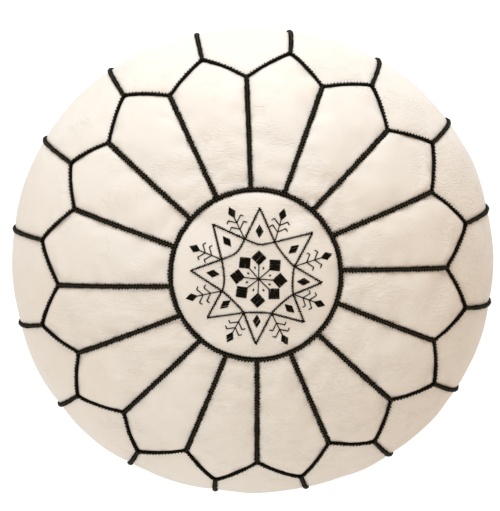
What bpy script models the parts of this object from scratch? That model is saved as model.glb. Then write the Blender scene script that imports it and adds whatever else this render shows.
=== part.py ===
"""A round leather pouf with a domed top of petal panels round an embroidered medallion.

Metres, +Z up. The origin is on the floor under the pouf's middle, X runs along the zip in the base.
Seams are counted clockwise from the one nearest +Y: a whole number is the valley at the outer end of
a radial seam, and the half between two of them is the petal's tip, where a side seam starts.
"""

import math

import bmesh
import bpy
from mathutils import Matrix, Vector

# The stuffed body, measured at its seams
PANELS = 16
RADIUS = 0.2545          # mean half width at the waist
OVAL = 0.018             # wider along X than along Y
SQUARENESS = 0.008       # fuller on the diagonals
WAIST = 0.155            # height of the widest line
RISE = 0.172             # from the waist to the top
DROP = 0.161             # from the waist to the base, before it is pressed flat on the floor
TOP_BULGE = 2.5          # superellipse powers of the two halves
BASE_BULGE = 3.2

# Where the seams run
FIRST_SEAM = math.radians(92.8)
STEP = math.radians(360 / PANELS)
MEDALLION_CENTRE = Vector((0.003, -0.001))
MEDALLION_RADIUS = 0.0855
VALLEY_RADIUS = 0.1965
TIP_RADIUS = 0.2235
SHOULDER_BOW = 0.002     # how far a scallop's edge bows out between valley and tip
BASE_SEAM_PHI = math.radians(143)

# The panels were cut and sewn by hand, so each seam strays a little: degrees, then metres
RING_STRAY = (0.5, 0.5, 1, 2, 0.5, 0.5, -1.5, -1.5, -2, -0.5, 2, 3, 5, 0.5, 1.5, 1.5)
VALLEY_STRAY = (-1, -1, -1.5, -1.5, -2, -1.5, -1, -1.5, -1.5, -0.5, 0, 0, 1.5, 0.5, 0.5, 0)
TIP_STRAY = (-1.5, -2, -1.5, -2, -2, -1.5, -1.5, -1, -1.5, -1, -0.5, 1, 0.5, 0.5, 0, -0.5)
VALLEY_REACH = (0, 3, 1, 2, 1, 2, -3, -3, 2, 1, 0, 0, 2, -5, -1, 0)
TIP_REACH = (1, 1, 2, 1, 0, -1, -4, 1, 2, 2, 1, 2, -5, -8, -2, -3)

# Leather and stitching
LEATHER = 0.002
CROWN = 0.004            # how far a panel swells between its seams
MEDALLION_CROWN = 0.003
SEAM_GAP = 0.001         # from a panel's edge to the seam line
PETAL_LENGTH = 0.115     # typical sizes of the panels, from which their gaps are worked out
SIDE_LENGTH = 0.23
SIDE_WIDTH = 0.085
BRAID_RADIUS = 0.0018
BRAID_LIFT = BRAID_RADIUS + 0.0009
BRAID_END_GAP = 0.0045   # a radial braid stops this far from the ring and the scallops

# Stuffing
STUFFING_INSET = 0.0055
STUFFING_FLOOR = 0.0028
STUFFING_TROUGH_TOP = 0.0165   # the stuffing is hollowed this high over the zip
STUFFING_TROUGH_SPARE = 0.002

# The zip in the base lies in a shallow trough, clear of the floor
TROUGH_DEPTH = 0.009
TROUGH_FLAT = 0.010      # half width of the trough's flat middle
TROUGH_EDGE = 0.034      # half width where it has faded out
TROUGH_FULL = 0.158      # half length at full depth
TROUGH_END = 0.182       # half length where it has faded out
SLIT_HALF = 0.009        # half width of the opening between the two base panels
BUTT_HALF = 0.001        # half gap where they meet beyond the zip's ends
OPENING_HALF = 0.165     # half length of that opening
BASE_END = math.radians(2.5)   # the base panels' ends stop this far round from the zip's line
BASE_CROWDING = 1.7      # draws the base panels' divisions towards the trough
TAPE_HALF_LENGTH = 0.157
TAPE_THICKNESS = 0.0008
TAPE_Z = 0.0118          # height of the tape's middle
TAPE_OUTER = 0.0150
TAPE_INNER = 0.0032
TEETH_HALF_LENGTH = 0.152
TEETH_OUTER = 0.0029
TEETH_TIP = 0.0006       # half the slit that the slider's post runs in
TEETH_ROOT = 0.0016
TEETH_HEIGHT = 0.0024
TOOTH_PITCH = 0.008

# Slider and its pull tab, drawn closed at the +X end
SLIDER_X = 0.140
SLIDER_LENGTH = 0.012
SLIDER_HALF_WIDTH = 0.0046
SLIDER_LIP = 0.0039
SLIDER_POST = 0.0003
SLIDER_BOTTOM = 0.0089
CHANNEL_BOTTOM = 0.0102
LIP_BOTTOM = 0.0110
LIP_TOP = 0.0126
CHANNEL_TOP = 0.0134
SLIDER_TOP = 0.0147
BAIL_HALF_LENGTH = 0.003
BAIL_HOLE_HALF = 0.0016
BAIL_WIDTH = 0.0016
BAIL_LOW = 0.0066
BAIL_HOLE_LOW = 0.0073
BAIL_SUNK = 0.0004       # how deep its feet go into the slider
HINGE_Z = 0.0082
TAB_THICKNESS = 0.0009
TAB_LENGTH = 0.024
TAB_NECK = 0.0026        # half width beside the bail
TAB_HALF_WIDTH = 0.0034
TAB_SLOT_HALF = 0.0012
TAB_SLOT_END = 0.0050
TAB_BAR = 0.00045        # half width of the bar that turns in the bail
TAB_SHOULDER = 0.002     # from the slot to where the tab starts to widen
TAB_TAPER = 0.008        # from its end to where it reaches full width
TAB_CORNER = 0.002       # the cut corners of its end

# How finely the curved pieces are divided
PETAL_ACROSS, PETAL_ALONG = 4, 5
SIDE_ACROSS, SIDE_ALONG = 4, 7
MEDALLION_ROUND, MEDALLION_RINGS = 32, 3
STUFFING_ROUND, STUFFING_ALONG = 32, 14
BASE_ALONG, BASE_ACROSS = 20, 6

COLOURS = {
    "leather": ((0.83, 0.74, 0.65), 0.55, 0.0),
    "medallion": ((0.80, 0.71, 0.63), 0.55, 0.0),
    "thread": ((0.022, 0.017, 0.010), 0.75, 0.0),
    "stuffing": ((0.62, 0.58, 0.50), 0.95, 0.0),
    "tape": ((0.62, 0.56, 0.48), 0.9, 0.0),
    "teeth": ((0.55, 0.49, 0.40), 0.45, 0.0),
    "brass": ((0.62, 0.45, 0.20), 0.35, 1.0),
}


# ---------------------------------------------------------------- the body's form


def outline(angle):
    """The plan's departure from a circle."""
    return 1 + OVAL * math.cos(2 * angle) - SQUARENESS * math.cos(4 * angle)


def profile(phi, inset=0.0):
    """Radius and height on the seam surface, phi from 0 at the top's centre to pi at the base's."""
    out = abs(math.sin(phi))
    up = abs(math.cos(phi))
    if phi <= math.pi / 2:
        power = 2 / TOP_BULGE
        return (RADIUS - inset) * out**power, WAIST + (RISE - inset) * up**power
    power = 2 / BASE_BULGE
    return (RADIUS - inset) * out**power, max(0.0, WAIST - (DROP - inset) * up**power)


def body_point(angle, phi):
    radius, height = profile(phi)
    radius *= outline(angle)
    return Vector((radius * math.cos(angle), radius * math.sin(angle), height))


def body_normal(angle, phi):
    small = 0.01
    around = body_point(angle + small, phi) - body_point(angle - small, phi)
    down = body_point(angle, phi + small) - body_point(angle, phi - small)
    return down.cross(around).normalized()


def skin(angle, phi, lift=0.0):
    return body_point(angle, phi) + body_normal(angle, phi) * lift


def on_top(plan):
    """The angle and phi of the point of the top that lies over this point of the plan."""
    angle = math.atan2(plan.y, plan.x)
    share = plan.length / (RADIUS * outline(angle))
    return angle, math.asin(share ** (TOP_BULGE / 2))


def base_height(x, y):
    """Height of the base's outer face, with the zip's trough."""
    angle = math.atan2(y, x)
    share = math.hypot(x, y) / (RADIUS * outline(angle))
    height = profile(math.pi - math.asin(share ** (BASE_BULGE / 2)))[1]
    across = 1 - smooth(TROUGH_FLAT, TROUGH_EDGE, abs(y))
    along = 1 - smooth(TROUGH_FULL, TROUGH_END, abs(x))
    return max(height, TROUGH_DEPTH * across * along)


def smooth(start, end, value):
    share = min(1.0, max(0.0, (value - start) / (end - start)))
    return share * share * (3 - 2 * share)


# ---------------------------------------------------------------- where the seams run


def polar(angle, radius):
    return Vector((radius * math.cos(angle), radius * math.sin(angle)))


def valley(i):
    angle = FIRST_SEAM - STEP * i + math.radians(VALLEY_STRAY[i % PANELS])
    return polar(angle, VALLEY_RADIUS + VALLEY_REACH[i % PANELS] / 1000)


def tip(i):
    """The tip between seams i and i + 1."""
    angle = FIRST_SEAM - STEP * (i + 0.5) + math.radians(TIP_STRAY[i % PANELS])
    return polar(angle, TIP_RADIUS + TIP_REACH[i % PANELS] / 1000)


def scallop(s):
    """Plan point of the zigzag seam: whole s is a valley, half s a tip."""
    i = math.floor(s)
    share = 2 * (s - i)
    if share <= 1:
        start, end = valley(i), tip(i)
    else:
        start, end, share = tip(i), valley(i + 1), share - 1
    point = start.lerp(end, share)
    return point + point.normalized() * SHOULDER_BOW * 4 * share * (1 - share)


def ring_angle(s):
    i = math.floor(s)
    stray = [RING_STRAY[k % PANELS] for k in (i, i + 1)]
    return FIRST_SEAM - STEP * s + math.radians(stray[0] + (stray[1] - stray[0]) * (s - i))


def ring(s, radius=MEDALLION_RADIUS):
    return MEDALLION_CENTRE + polar(ring_angle(s), radius)


def petal_plan(s, along):
    return ring(s).lerp(scallop(s), along)


def side_place(s, along):
    """Angle and phi on the side, from the scallop at 0 to the base seam at 1."""
    angle, phi = on_top(scallop(s))
    base_angle = FIRST_SEAM - STEP * s
    drift = (angle - base_angle + math.pi) % (2 * math.pi) - math.pi
    return base_angle + drift * (1 - along) ** 2, phi + (BASE_SEAM_PHI - phi) * along


# ---------------------------------------------------------------- tools


def collection(name, parent):
    made = bpy.data.collections.new(name)
    parent.children.link(made)
    return made


def material(name, kind):
    colour, roughness, metallic = COLOURS[kind]
    made = bpy.data.materials.new(name)
    made.use_nodes = True
    shader = made.node_tree.nodes["Principled BSDF"]
    shader.inputs["Base Color"].default_value = (*colour, 1)
    shader.inputs["Roughness"].default_value = roughness
    shader.inputs["Metallic"].default_value = metallic
    made.diffuse_color = (*colour, 1)
    return made


def new_object(name, data, into, kind=None):
    made = bpy.data.objects.new(name, data)
    into.objects.link(made)
    if kind:
        data.materials.append(material(name, kind))
    return made


def grid_piece(name, into, kind, columns, rows, place, outward):
    """A sheet of leather: a grid laid on the body by place(across, along), given its thickness."""
    bm = bmesh.new()
    bmesh.ops.create_grid(bm, x_segments=columns, y_segments=rows, size=0.5)
    for vertex in bm.verts:
        vertex.co = place(vertex.co.x + 0.5, vertex.co.y + 0.5)
    bmesh.ops.remove_doubles(bm, verts=bm.verts, dist=1e-6)
    bm.normal_update()
    if sum(face.normal.dot(outward) * face.calc_area() for face in bm.faces) < 0:
        bmesh.ops.reverse_faces(bm, faces=bm.faces)
    mesh = bpy.data.meshes.new(name)
    bm.to_mesh(mesh)
    bm.free()
    mesh.shade_smooth()
    piece = new_object(name, mesh, into, kind)
    wall = piece.modifiers.new("leather thickness", "SOLIDIFY")
    wall.thickness = LEATHER
    wall.offset = -1
    wall.use_even_offset = True
    return piece


def cord_piece(name, into, points, cyclic=False, kind=None):
    """A plain four-sided tube along the points, as wide as the braid."""
    curve = bpy.data.curves.new(name, "CURVE")
    curve.dimensions = "3D"
    curve.bevel_depth = BRAID_RADIUS
    curve.bevel_resolution = 0
    curve.use_fill_caps = not cyclic
    spline = curve.splines.new("POLY")
    spline.points.add(len(points) - 1)
    spline.use_cyclic_u = cyclic
    for target, point in zip(spline.points, points):
        target.co = (*point, 1)
    return new_object(name, curve, into, kind)


def as_mesh(source, name, into, kind=None):
    """The curve objects in source as one mesh, their caps welded; the curves are removed."""
    bpy.context.view_layer.update()
    graph = bpy.context.evaluated_depsgraph_get()
    bm = bmesh.new()
    for obj in source:
        mesh = bpy.data.meshes.new_from_object(obj.evaluated_get(graph))
        mesh.transform(obj.matrix_world)
        bm.from_mesh(mesh)
        bpy.data.meshes.remove(mesh)
    bmesh.ops.remove_doubles(bm, verts=bm.verts, dist=1e-6)
    bmesh.ops.recalc_face_normals(bm, faces=bm.faces)
    joined = bpy.data.meshes.new(name)
    bm.to_mesh(joined)
    bm.free()
    for obj in source:
        bpy.data.objects.remove(obj)
    return new_object(name, joined, into, kind)


def hide(cutter):
    cutter.hide_render = True
    cutter.display_type = "WIRE"
    return cutter


def boolean(obj, operation, other):
    cut = obj.modifiers.new(f"{operation.lower()} {other.name}", "BOOLEAN")
    cut.operation = operation
    cut.object = other


def box(name, into, low, high, kind=None):
    bm = bmesh.new()
    bmesh.ops.create_cube(bm, size=1)
    low, high = Vector(low), Vector(high)
    bmesh.ops.scale(bm, verts=bm.verts, vec=high - low)
    bmesh.ops.translate(bm, verts=bm.verts, vec=(high + low) / 2)
    mesh = bpy.data.meshes.new(name)
    bm.to_mesh(mesh)
    bm.free()
    return new_object(name, mesh, into, kind)


def plate(name, into, outlines, thickness, kind=None):
    """A flat piece with the given outlines: the first is its edge, the others are holes."""
    curve = bpy.data.curves.new(name, "CURVE")
    curve.dimensions = "2D"
    curve.fill_mode = "BOTH"
    curve.extrude = thickness / 2
    for points in outlines:
        spline = curve.splines.new("POLY")
        spline.points.add(len(points) - 1)
        spline.use_cyclic_u = True
        for target, (x, y) in zip(spline.points, points):
            target.co = (x, y, 0, 1)
    return new_object(name, curve, into, kind)


# ---------------------------------------------------------------- leather


def gap_share(share, length):
    """Shrinks a 0 to 1 share so that the piece stops a seam gap short at both ends."""
    short = SEAM_GAP / length
    return short + (1 - 2 * short) * share


def swell(across, along):
    return CROWN * 16 * across * (1 - across) * along * (1 - along)


def make_medallion(into):
    def place(across, along):
        radius = (MEDALLION_RADIUS - SEAM_GAP) * along
        plan = MEDALLION_CENTRE + polar(2 * math.pi * across, radius)
        point = body_point(*on_top(plan))
        return point + Vector((0, 0, MEDALLION_CROWN * (1 - along**2)))

    grid_piece("medallion", into, "medallion", MEDALLION_ROUND, MEDALLION_RINGS, place, Vector((0, 0, 1)))


def make_petal(i, into):
    def place(across, along):
        along = gap_share(along, PETAL_LENGTH)
        width = (ring(i) - ring(i + 1)).length * (1 - along) + (valley(i) - valley(i + 1)).length * along
        plan = petal_plan(i + gap_share(across, width), along)
        return skin(*on_top(plan), swell(across, along))

    outward = body_normal(*on_top(petal_plan(i + 0.5, 0.5)))
    grid_piece(f"petal_{i + 1:02d}", into, "leather", PETAL_ACROSS, PETAL_ALONG, place, outward)


def make_side_panel(i, into):
    def place(across, along):
        along = gap_share(along, SIDE_LENGTH)
        s = i + 0.5 + gap_share(across, SIDE_WIDTH)
        return skin(*side_place(s, along), swell(across, along))

    outward = body_normal(*side_place(i + 1, 0.5))
    grid_piece(f"side_panel_{i + 1:02d}", into, "leather", SIDE_ACROSS, SIDE_ALONG, place, outward)


def make_base_panel(name, side, into):
    """Half of the base disc: side is -1 for the front half and 1 for the back one."""
    seam_radius = profile(BASE_SEAM_PHI)[0] - SEAM_GAP

    def place(across, along):
        angle = BASE_END + (math.pi - 2 * BASE_END) * across
        rim = polar(angle, seam_radius * outline(angle))
        opened = 1 - smooth(TAPE_HALF_LENGTH, OPENING_HALF, abs(rim.x))
        inner = BUTT_HALF + (SLIT_HALF - BUTT_HALF) * opened
        y = inner + (rim.y - inner) * along**BASE_CROWDING
        return Vector((rim.x, side * y, base_height(rim.x, side * y)))

    grid_piece(name, into, "leather", BASE_ALONG, BASE_ACROSS, place, Vector((0, 0, -1)))


# ---------------------------------------------------------------- stitching


def make_ring_braid(into):
    stations = [ring(k / 3) for k in range(3 * PANELS)]
    points = [skin(*on_top(plan), BRAID_LIFT) for plan in stations]
    cord_piece("ring_braid", into, points, cyclic=True, kind="thread")


def make_radial_braid(i, into):
    length = (scallop(i) - ring(i)).length
    short = BRAID_END_GAP / length
    points = []
    for k in range(PETAL_ALONG + 1):
        along = short + (1 - 2 * short) * k / PETAL_ALONG
        points.append(skin(*on_top(petal_plan(i, along)), BRAID_LIFT))
    cord_piece(f"radial_braid_{i + 1:02d}", into, points, kind="thread")


def make_side_net(into, cutters):
    """The scallops, the side seams that hang from their tips and the base seam: one net of braid."""
    zigzag = [skin(*on_top(scallop(k / 4)), BRAID_LIFT) for k in range(4 * PANELS)]
    base = [skin(*side_place(k / 3, 1), BRAID_LIFT) for k in range(3 * PANELS)]
    net = as_mesh([cord_piece("zigzag", into, zigzag, cyclic=True)], "side_net_braid", into, "thread")
    hem = as_mesh([cord_piece("hem", cutters, base, cyclic=True)], "base_seam_run", cutters)
    runs = []
    for i in range(PANELS):
        points = [skin(*side_place(i + 0.5, k / SIDE_ALONG), BRAID_LIFT) for k in range(SIDE_ALONG + 1)]
        runs.append(cord_piece(f"run_{i}", cutters, points))
    drops = as_mesh(runs, "side_seam_runs", cutters)
    boolean(net, "UNION", hide(drops))
    boolean(net, "UNION", hide(hem))


# ---------------------------------------------------------------- stuffing


def make_stuffing(into, cutters):
    bm = bmesh.new()
    bmesh.ops.create_grid(bm, x_segments=STUFFING_ROUND, y_segments=STUFFING_ALONG, size=0.5)
    for vertex in bm.verts:
        angle = 2 * math.pi * (vertex.co.x + 0.5)
        radius, height = profile(math.pi * (vertex.co.y + 0.5), STUFFING_INSET)
        radius *= outline(angle)
        height = max(height, STUFFING_FLOOR)
        vertex.co = (radius * math.cos(angle), radius * math.sin(angle), height)
    bmesh.ops.remove_doubles(bm, verts=bm.verts, dist=1e-5)
    bmesh.ops.recalc_face_normals(bm, faces=bm.faces)
    mesh = bpy.data.meshes.new("stuffing")
    bm.to_mesh(mesh)
    bm.free()
    stuffing = new_object("stuffing", mesh, into, "stuffing")
    half_length = TROUGH_END + STUFFING_TROUGH_SPARE
    half_width = TROUGH_EDGE + STUFFING_TROUGH_SPARE
    low = (-half_length, -half_width, -STUFFING_TROUGH_TOP)
    high = (half_length, half_width, STUFFING_TROUGH_TOP)
    boolean(stuffing, "DIFFERENCE", hide(box("zip_trough", cutters, low, high)))


# ---------------------------------------------------------------- zip


def make_tape(name, side, into):
    edges = sorted((side * TAPE_INNER, side * TAPE_OUTER))
    low = (-TAPE_HALF_LENGTH, edges[0], TAPE_Z - TAPE_THICKNESS / 2)
    high = (TAPE_HALF_LENGTH, edges[1], TAPE_Z + TAPE_THICKNESS / 2)
    box(name, into, low, high, "tape")


def make_teeth(name, side, into):
    """One row of teeth, as a comb whose points face the other row."""
    comb = [(-TEETH_HALF_LENGTH, side * TEETH_OUTER)]
    count = int(2 * TEETH_HALF_LENGTH / TOOTH_PITCH)
    for k in range(count):
        start = -TEETH_HALF_LENGTH + k * TOOTH_PITCH
        comb.append((start, side * TEETH_ROOT))
        comb.append((start + 0.25 * TOOTH_PITCH, side * TEETH_TIP))
        comb.append((start + 0.75 * TOOTH_PITCH, side * TEETH_TIP))
    comb.append((TEETH_HALF_LENGTH, side * TEETH_ROOT))
    comb.append((TEETH_HALF_LENGTH, side * TEETH_OUTER))
    teeth = plate(name, into, [comb], TEETH_HEIGHT, "teeth")
    teeth.location.z = TAPE_Z


def make_slider(into, cutters):
    """A slider of one section along its length: two plates, their lips and the post between the rows."""
    right = [
        (SLIDER_HALF_WIDTH, SLIDER_BOTTOM),
        (SLIDER_HALF_WIDTH, LIP_BOTTOM),
        (SLIDER_LIP, LIP_BOTTOM),
        (SLIDER_LIP, CHANNEL_BOTTOM),
        (SLIDER_POST, CHANNEL_BOTTOM),
        (SLIDER_POST, CHANNEL_TOP),
        (SLIDER_LIP, CHANNEL_TOP),
        (SLIDER_LIP, LIP_TOP),
        (SLIDER_HALF_WIDTH, LIP_TOP),
        (SLIDER_HALF_WIDTH, SLIDER_TOP),
    ]
    section = right + [(-y, z) for y, z in reversed(right)]
    upright = Matrix(((0, 0, 1), (1, 0, 0), (0, 1, 0))).to_4x4()
    body = plate("slider_body", into, [section], SLIDER_LENGTH)
    body.matrix_world = upright
    slider = as_mesh([body], "zip_slider", into, "brass")
    root = SLIDER_BOTTOM + BAIL_SUNK
    arch = [
        (-BAIL_HALF_LENGTH, root),
        (-BAIL_HALF_LENGTH, BAIL_LOW),
        (BAIL_HALF_LENGTH, BAIL_LOW),
        (BAIL_HALF_LENGTH, root),
        (BAIL_HOLE_HALF, root),
        (BAIL_HOLE_HALF, BAIL_HOLE_LOW),
        (-BAIL_HOLE_HALF, BAIL_HOLE_LOW),
        (-BAIL_HOLE_HALF, root),
    ]
    bail = plate("bail_outline", cutters, [arch], BAIL_WIDTH)
    bail.matrix_world = Matrix.Rotation(math.pi / 2, 4, "X")
    bail = as_mesh([bail], "slider_bail", cutters)
    boolean(slider, "UNION", hide(bail))
    for moved in (slider, bail):
        moved.location.x = SLIDER_X


def make_pull_tab(into):
    """The tab lies along -X, its bar in the slider's bail, on the hinge axis."""
    slot = TAB_SLOT_HALF
    half = [
        (TAB_BAR, TAB_NECK),
        (-TAB_SLOT_END - TAB_SHOULDER, TAB_NECK),
        (-TAB_LENGTH + TAB_TAPER, TAB_HALF_WIDTH),
        (-TAB_LENGTH + TAB_CORNER, TAB_HALF_WIDTH),
        (-TAB_LENGTH, TAB_HALF_WIDTH - TAB_CORNER),
    ]
    edge = half + [(x, -y) for x, y in reversed(half)]
    window = [(-TAB_BAR, -slot), (-TAB_BAR, slot), (-TAB_SLOT_END, slot), (-TAB_SLOT_END, -slot)]
    tab = plate("pull_tab", into, [edge, window], TAB_THICKNESS, "brass")
    tab.location = (SLIDER_X, 0, HINGE_Z)


# ---------------------------------------------------------------- the whole pouf


def clear_scene():
    for obj in list(bpy.data.objects):
        bpy.data.objects.remove(obj)
    for old in list(bpy.data.collections):
        bpy.data.collections.remove(old)


def main():
    clear_scene()
    scene = bpy.context.scene
    pouf = collection("leather_pouf", scene.collection)
    cutters = collection("cutters", scene.collection)
    make_medallion(pouf)
    for i in range(PANELS):
        make_petal(i, pouf)
        make_side_panel(i, pouf)
        make_radial_braid(i, pouf)
    make_ring_braid(pouf)
    make_side_net(pouf, cutters)
    make_base_panel("base_panel_front", -1, pouf)
    make_base_panel("base_panel_back", 1, pouf)
    make_stuffing(pouf, cutters)
    make_tape("zip_tape_front", -1, pouf)
    make_tape("zip_tape_back", 1, pouf)
    make_teeth("zip_teeth_front", -1, pouf)
    make_teeth("zip_teeth_back", 1, pouf)
    make_slider(pouf, cutters)
    make_pull_tab(pouf)


main()
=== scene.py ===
"""A stuffed leather pouf: petal panels round an embroidered medallion, braided seams, a zip in the base.

The file is laid out as a Blender add-on and is run as a script. Metres, +Z up. Seams are counted clockwise
from the one nearest +Y: a whole number s is the valley at the outer end of a radial seam, and a half is the
tip of the petal between two of them, where a side seam starts.
"""

import math

import bpy
import numpy as np
from mathutils import Matrix, Vector
from mathutils.bvhtree import BVHTree
from mathutils.kdtree import KDTree


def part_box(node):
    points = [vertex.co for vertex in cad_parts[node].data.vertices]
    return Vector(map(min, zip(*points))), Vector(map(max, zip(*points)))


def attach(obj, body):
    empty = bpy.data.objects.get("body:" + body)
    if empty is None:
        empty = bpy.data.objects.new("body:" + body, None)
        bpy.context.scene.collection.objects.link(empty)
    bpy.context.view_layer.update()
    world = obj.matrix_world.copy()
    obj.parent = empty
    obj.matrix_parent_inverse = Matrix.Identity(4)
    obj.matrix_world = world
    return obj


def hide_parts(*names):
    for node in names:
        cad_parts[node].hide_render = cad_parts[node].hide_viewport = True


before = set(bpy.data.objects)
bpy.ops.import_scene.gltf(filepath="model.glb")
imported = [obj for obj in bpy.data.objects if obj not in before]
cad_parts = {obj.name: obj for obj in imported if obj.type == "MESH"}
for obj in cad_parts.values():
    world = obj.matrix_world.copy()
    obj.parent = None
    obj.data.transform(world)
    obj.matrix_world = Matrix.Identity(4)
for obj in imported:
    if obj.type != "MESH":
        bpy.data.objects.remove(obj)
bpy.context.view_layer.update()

bl_info = {
    "name": "Leather Pouf",
    "version": (1, 0, 0),
    "blender": (4, 5, 0),
    "location": "View3D > Sidebar > Pouf",
    "description": "A stuffed leather pouf with braided seams, an embroidered medallion and a zip in its base",
    "category": "Add Mesh",
}

# The body's form and the seams on it, as the cover was cut
PANELS = 16
RADIUS = 0.2545
OVAL = 0.018
SQUARENESS = 0.008
WAIST = 0.155
RISE = 0.172
DROP = 0.161
TOP_BULGE = 2.5
BASE_BULGE = 3.2
FIRST_SEAM = math.radians(92.8)
STEP = math.radians(360 / PANELS)
MEDALLION_CENTRE = np.array((0.003, -0.001))
MEDALLION_RADIUS = 0.0855
VALLEY_RADIUS = 0.1965
TIP_RADIUS = 0.2235
SHOULDER_BOW = 0.002
BASE_SEAM_PHI = math.radians(143)
RING_STRAY = (0.5, 0.5, 1, 2, 0.5, 0.5, -1.5, -1.5, -2, -0.5, 2, 3, 5, 0.5, 1.5, 1.5)
VALLEY_STRAY = (-1, -1, -1.5, -1.5, -2, -1.5, -1, -1.5, -1.5, -0.5, 0, 0, 1.5, 0.5, 0.5, 0)
TIP_STRAY = (-1.5, -2, -1.5, -2, -2, -1.5, -1.5, -1, -1.5, -1, -0.5, 1, 0.5, 0.5, 0, -0.5)
VALLEY_REACH = (0, 3, 1, 2, 1, 2, -3, -3, 2, 1, 0, 0, 2, -5, -1, 0)
TIP_REACH = (1, 1, 2, 1, 0, -1, -4, 1, 2, 2, 1, 2, -5, -8, -2, -3)

# How finely the leather is divided before it is stuffed
PETAL_GRID = (16, 24)
SIDE_GRID = (18, 44)
MEDALLION_GRID = (28, 28)
EDGE_GAP = 0.0006
EDGE_CROWDING = 0.4
STUFFED_COVER = "stuffed cover"

# The leather's unevenness
GATHER_LENGTHS = (0.0035, 0.009)
PUCKER_REACH = 0.005
LUMP_LENGTH = 0.05
LUMP_REACH = 0.012

# The stuffing
STUFFING_GRID = (72, 110)
STUFFING_INSET = 0.0052
STUFFING_LUMP = 0.0016
STUFFING_FLOOR = 0.0028
STUFFING_TROUGH_TOP = 0.0170
STUFFING_TROUGH_SPREAD = 0.016

# Braid: each stitch's size is a share of the braid's width
STITCH_FULLNESS = 1.25
SATIN_FULLNESS = 2.6
BRAID_TURN = math.radians(50)
BRAID_TILT = math.radians(12)
BRAID_FULLNESS = 1.9
BRAID_STITCH_LENGTH = 0.41
BRAID_STITCH_WIDTH = 0.18
BRAID_STAGGER = 0.15
BRAID_STITCH_HEIGHT = 0.0010
BRAID_RISE = 0.0027
CROWN_LENGTH = 0.16
CROWN_WIDTH = 0.14
CROWN_RISE = 0.0037
CROWN_HALF_HEIGHT = 0.0006
CORE_WIDTH = 0.35
CORE_RISE = 0.0015
CORE_HALF_HEIGHT = 0.0014
CORE_SIDES = 8
RADIAL_GAP = 0.0004
SIDE_SEAM_START = -0.008   # the side seams start under the scallops' braid
ROPE_PITCH = 1.05
ROPE_TURN = math.radians(40)
ROPE_HALF_WIDTH = 0.30
ROPE_HALF_LENGTH = 0.74
ROPE_LINE = 0.18

# The zip in the base and its trough
TROUGH_DEPTH = 0.009
TROUGH_FLAT = 0.010
TROUGH_EDGE = 0.034
TROUGH_FULL = 0.158
TROUGH_END = 0.182
SLIT_HALF = 0.009
BUTT_HALF = 0.001
OPENING_HALF = 0.165
TAPE_HALF_LENGTH = 0.157
BASE_END = math.radians(2.5)
BASE_CROWDING = 1.7
BASE_GRID = (110, 44)
TOPSTITCH_ROWS = (0.0022, 0.0048)
TOPSTITCH_END = 0.158
TOOTH_PITCH = 0.0026
TOOTH_WIDTH = 0.0016
TOOTH_NECK = 0.0014
TOOTH_TIP = 0.00035
TOOTH_ROUNDING = 0.00018
TEETH_START = 0.005
TEETH_STOP = 0.004
SLIDER_BOTTOM = 0.0089
BAIL_HALF = 0.003
BAIL_HOLE = 0.0016
TAB_SLOT = 0.0012

# The floor lies just clear of the base, and the camera stands a little off the pouf's middle
FLOOR_GAP = -0.0003
CAMERA_ASIDE = -0.0028
CAMERA_UP = 0.0053


# ---------------------------------------------------------------- settings


def length(name, description, default):
    return bpy.props.FloatProperty(name=name, description=description, default=default, min=0, unit="LENGTH", precision=5)


def number(name, description, default):
    return bpy.props.FloatProperty(name=name, description=description, default=default, min=0)


def colour(name, description, default):
    return bpy.props.FloatVectorProperty(
        name=name, description=description, default=default, min=0, max=1, size=3, subtype="COLOR"
    )


class PoufForm(bpy.types.PropertyGroup):
    leather: length("Leather", "Thickness of the leather", 0.0018)
    pressure: number("Pressure", "How hard the stuffing pushes on the cover", 5.0)
    spare: number("Spare leather", "Share by which each panel was cut over size", 0.02)
    side_give: number("Side give", "Share of that swell which the side panels keep", 0.33)
    swell_limit: length("Swell limit", "Furthest a panel may stand off its seams", 0.011)
    seam_depth: length("Seam depth", "How far the leather dips into a seam", 0.0015)
    seam_reach: length("Seam reach", "How far from a seam the dip fades", 0.0028)
    pucker: length("Pucker", "Height of the gathers beside a seam", 0.0003)
    lump: length("Lump", "Height of the stuffing's lumps under the leather", 0.0003)


class PoufStitching(bpy.types.PropertyGroup):
    top_braid: length("Top braid", "Width of the ring and radial braids", 0.0052)
    scallop_braid: length("Scallop braid", "Width of the zigzag braid round the petals", 0.0040)
    side_braid: length("Side braid", "Width of the side and base seams' braid", 0.0046)
    plait: length("Plait", "From one stitch of the ring's and radial braids to the next", 0.0032)
    side_plait: length("Side plait", "From one stitch of the other braids to the next", 0.0037)
    rope: length("Rope thread", "Width of the star's embroidered outline", 0.0026)
    fine: length("Fine thread", "Width of the sprigs' and rays' thread", 0.00125)
    satin: length("Satin pitch", "From one thread of a filled shape to the next", 0.00085)
    topstitch: length("Topstitch", "From one stitch beside the zip to the next", 0.0035)


class PoufColours(bpy.types.PropertyGroup):
    leather: colour("Leather", "Bleached sheepskin", (0.88, 0.81, 0.735))
    leather_tone: colour("Leather tone", "The skin's warmer patches", (0.84, 0.735, 0.64))
    thread: colour("Thread", "Waxed braid and embroidery thread", (0.0042, 0.0031, 0.0009))
    cream_thread: colour("Cream thread", "Topstitching beside the zip", (0.62, 0.54, 0.42))
    cotton: colour("Cotton", "Waste cotton and wool of the stuffing", (0.66, 0.62, 0.54))
    tape: colour("Tape", "The zip's woven tape", (0.58, 0.51, 0.42))
    teeth: colour("Teeth", "The zip's moulded teeth", (0.55, 0.49, 0.40))
    brass: colour("Brass", "Slider and pull tab", (0.62, 0.45, 0.20))


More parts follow.
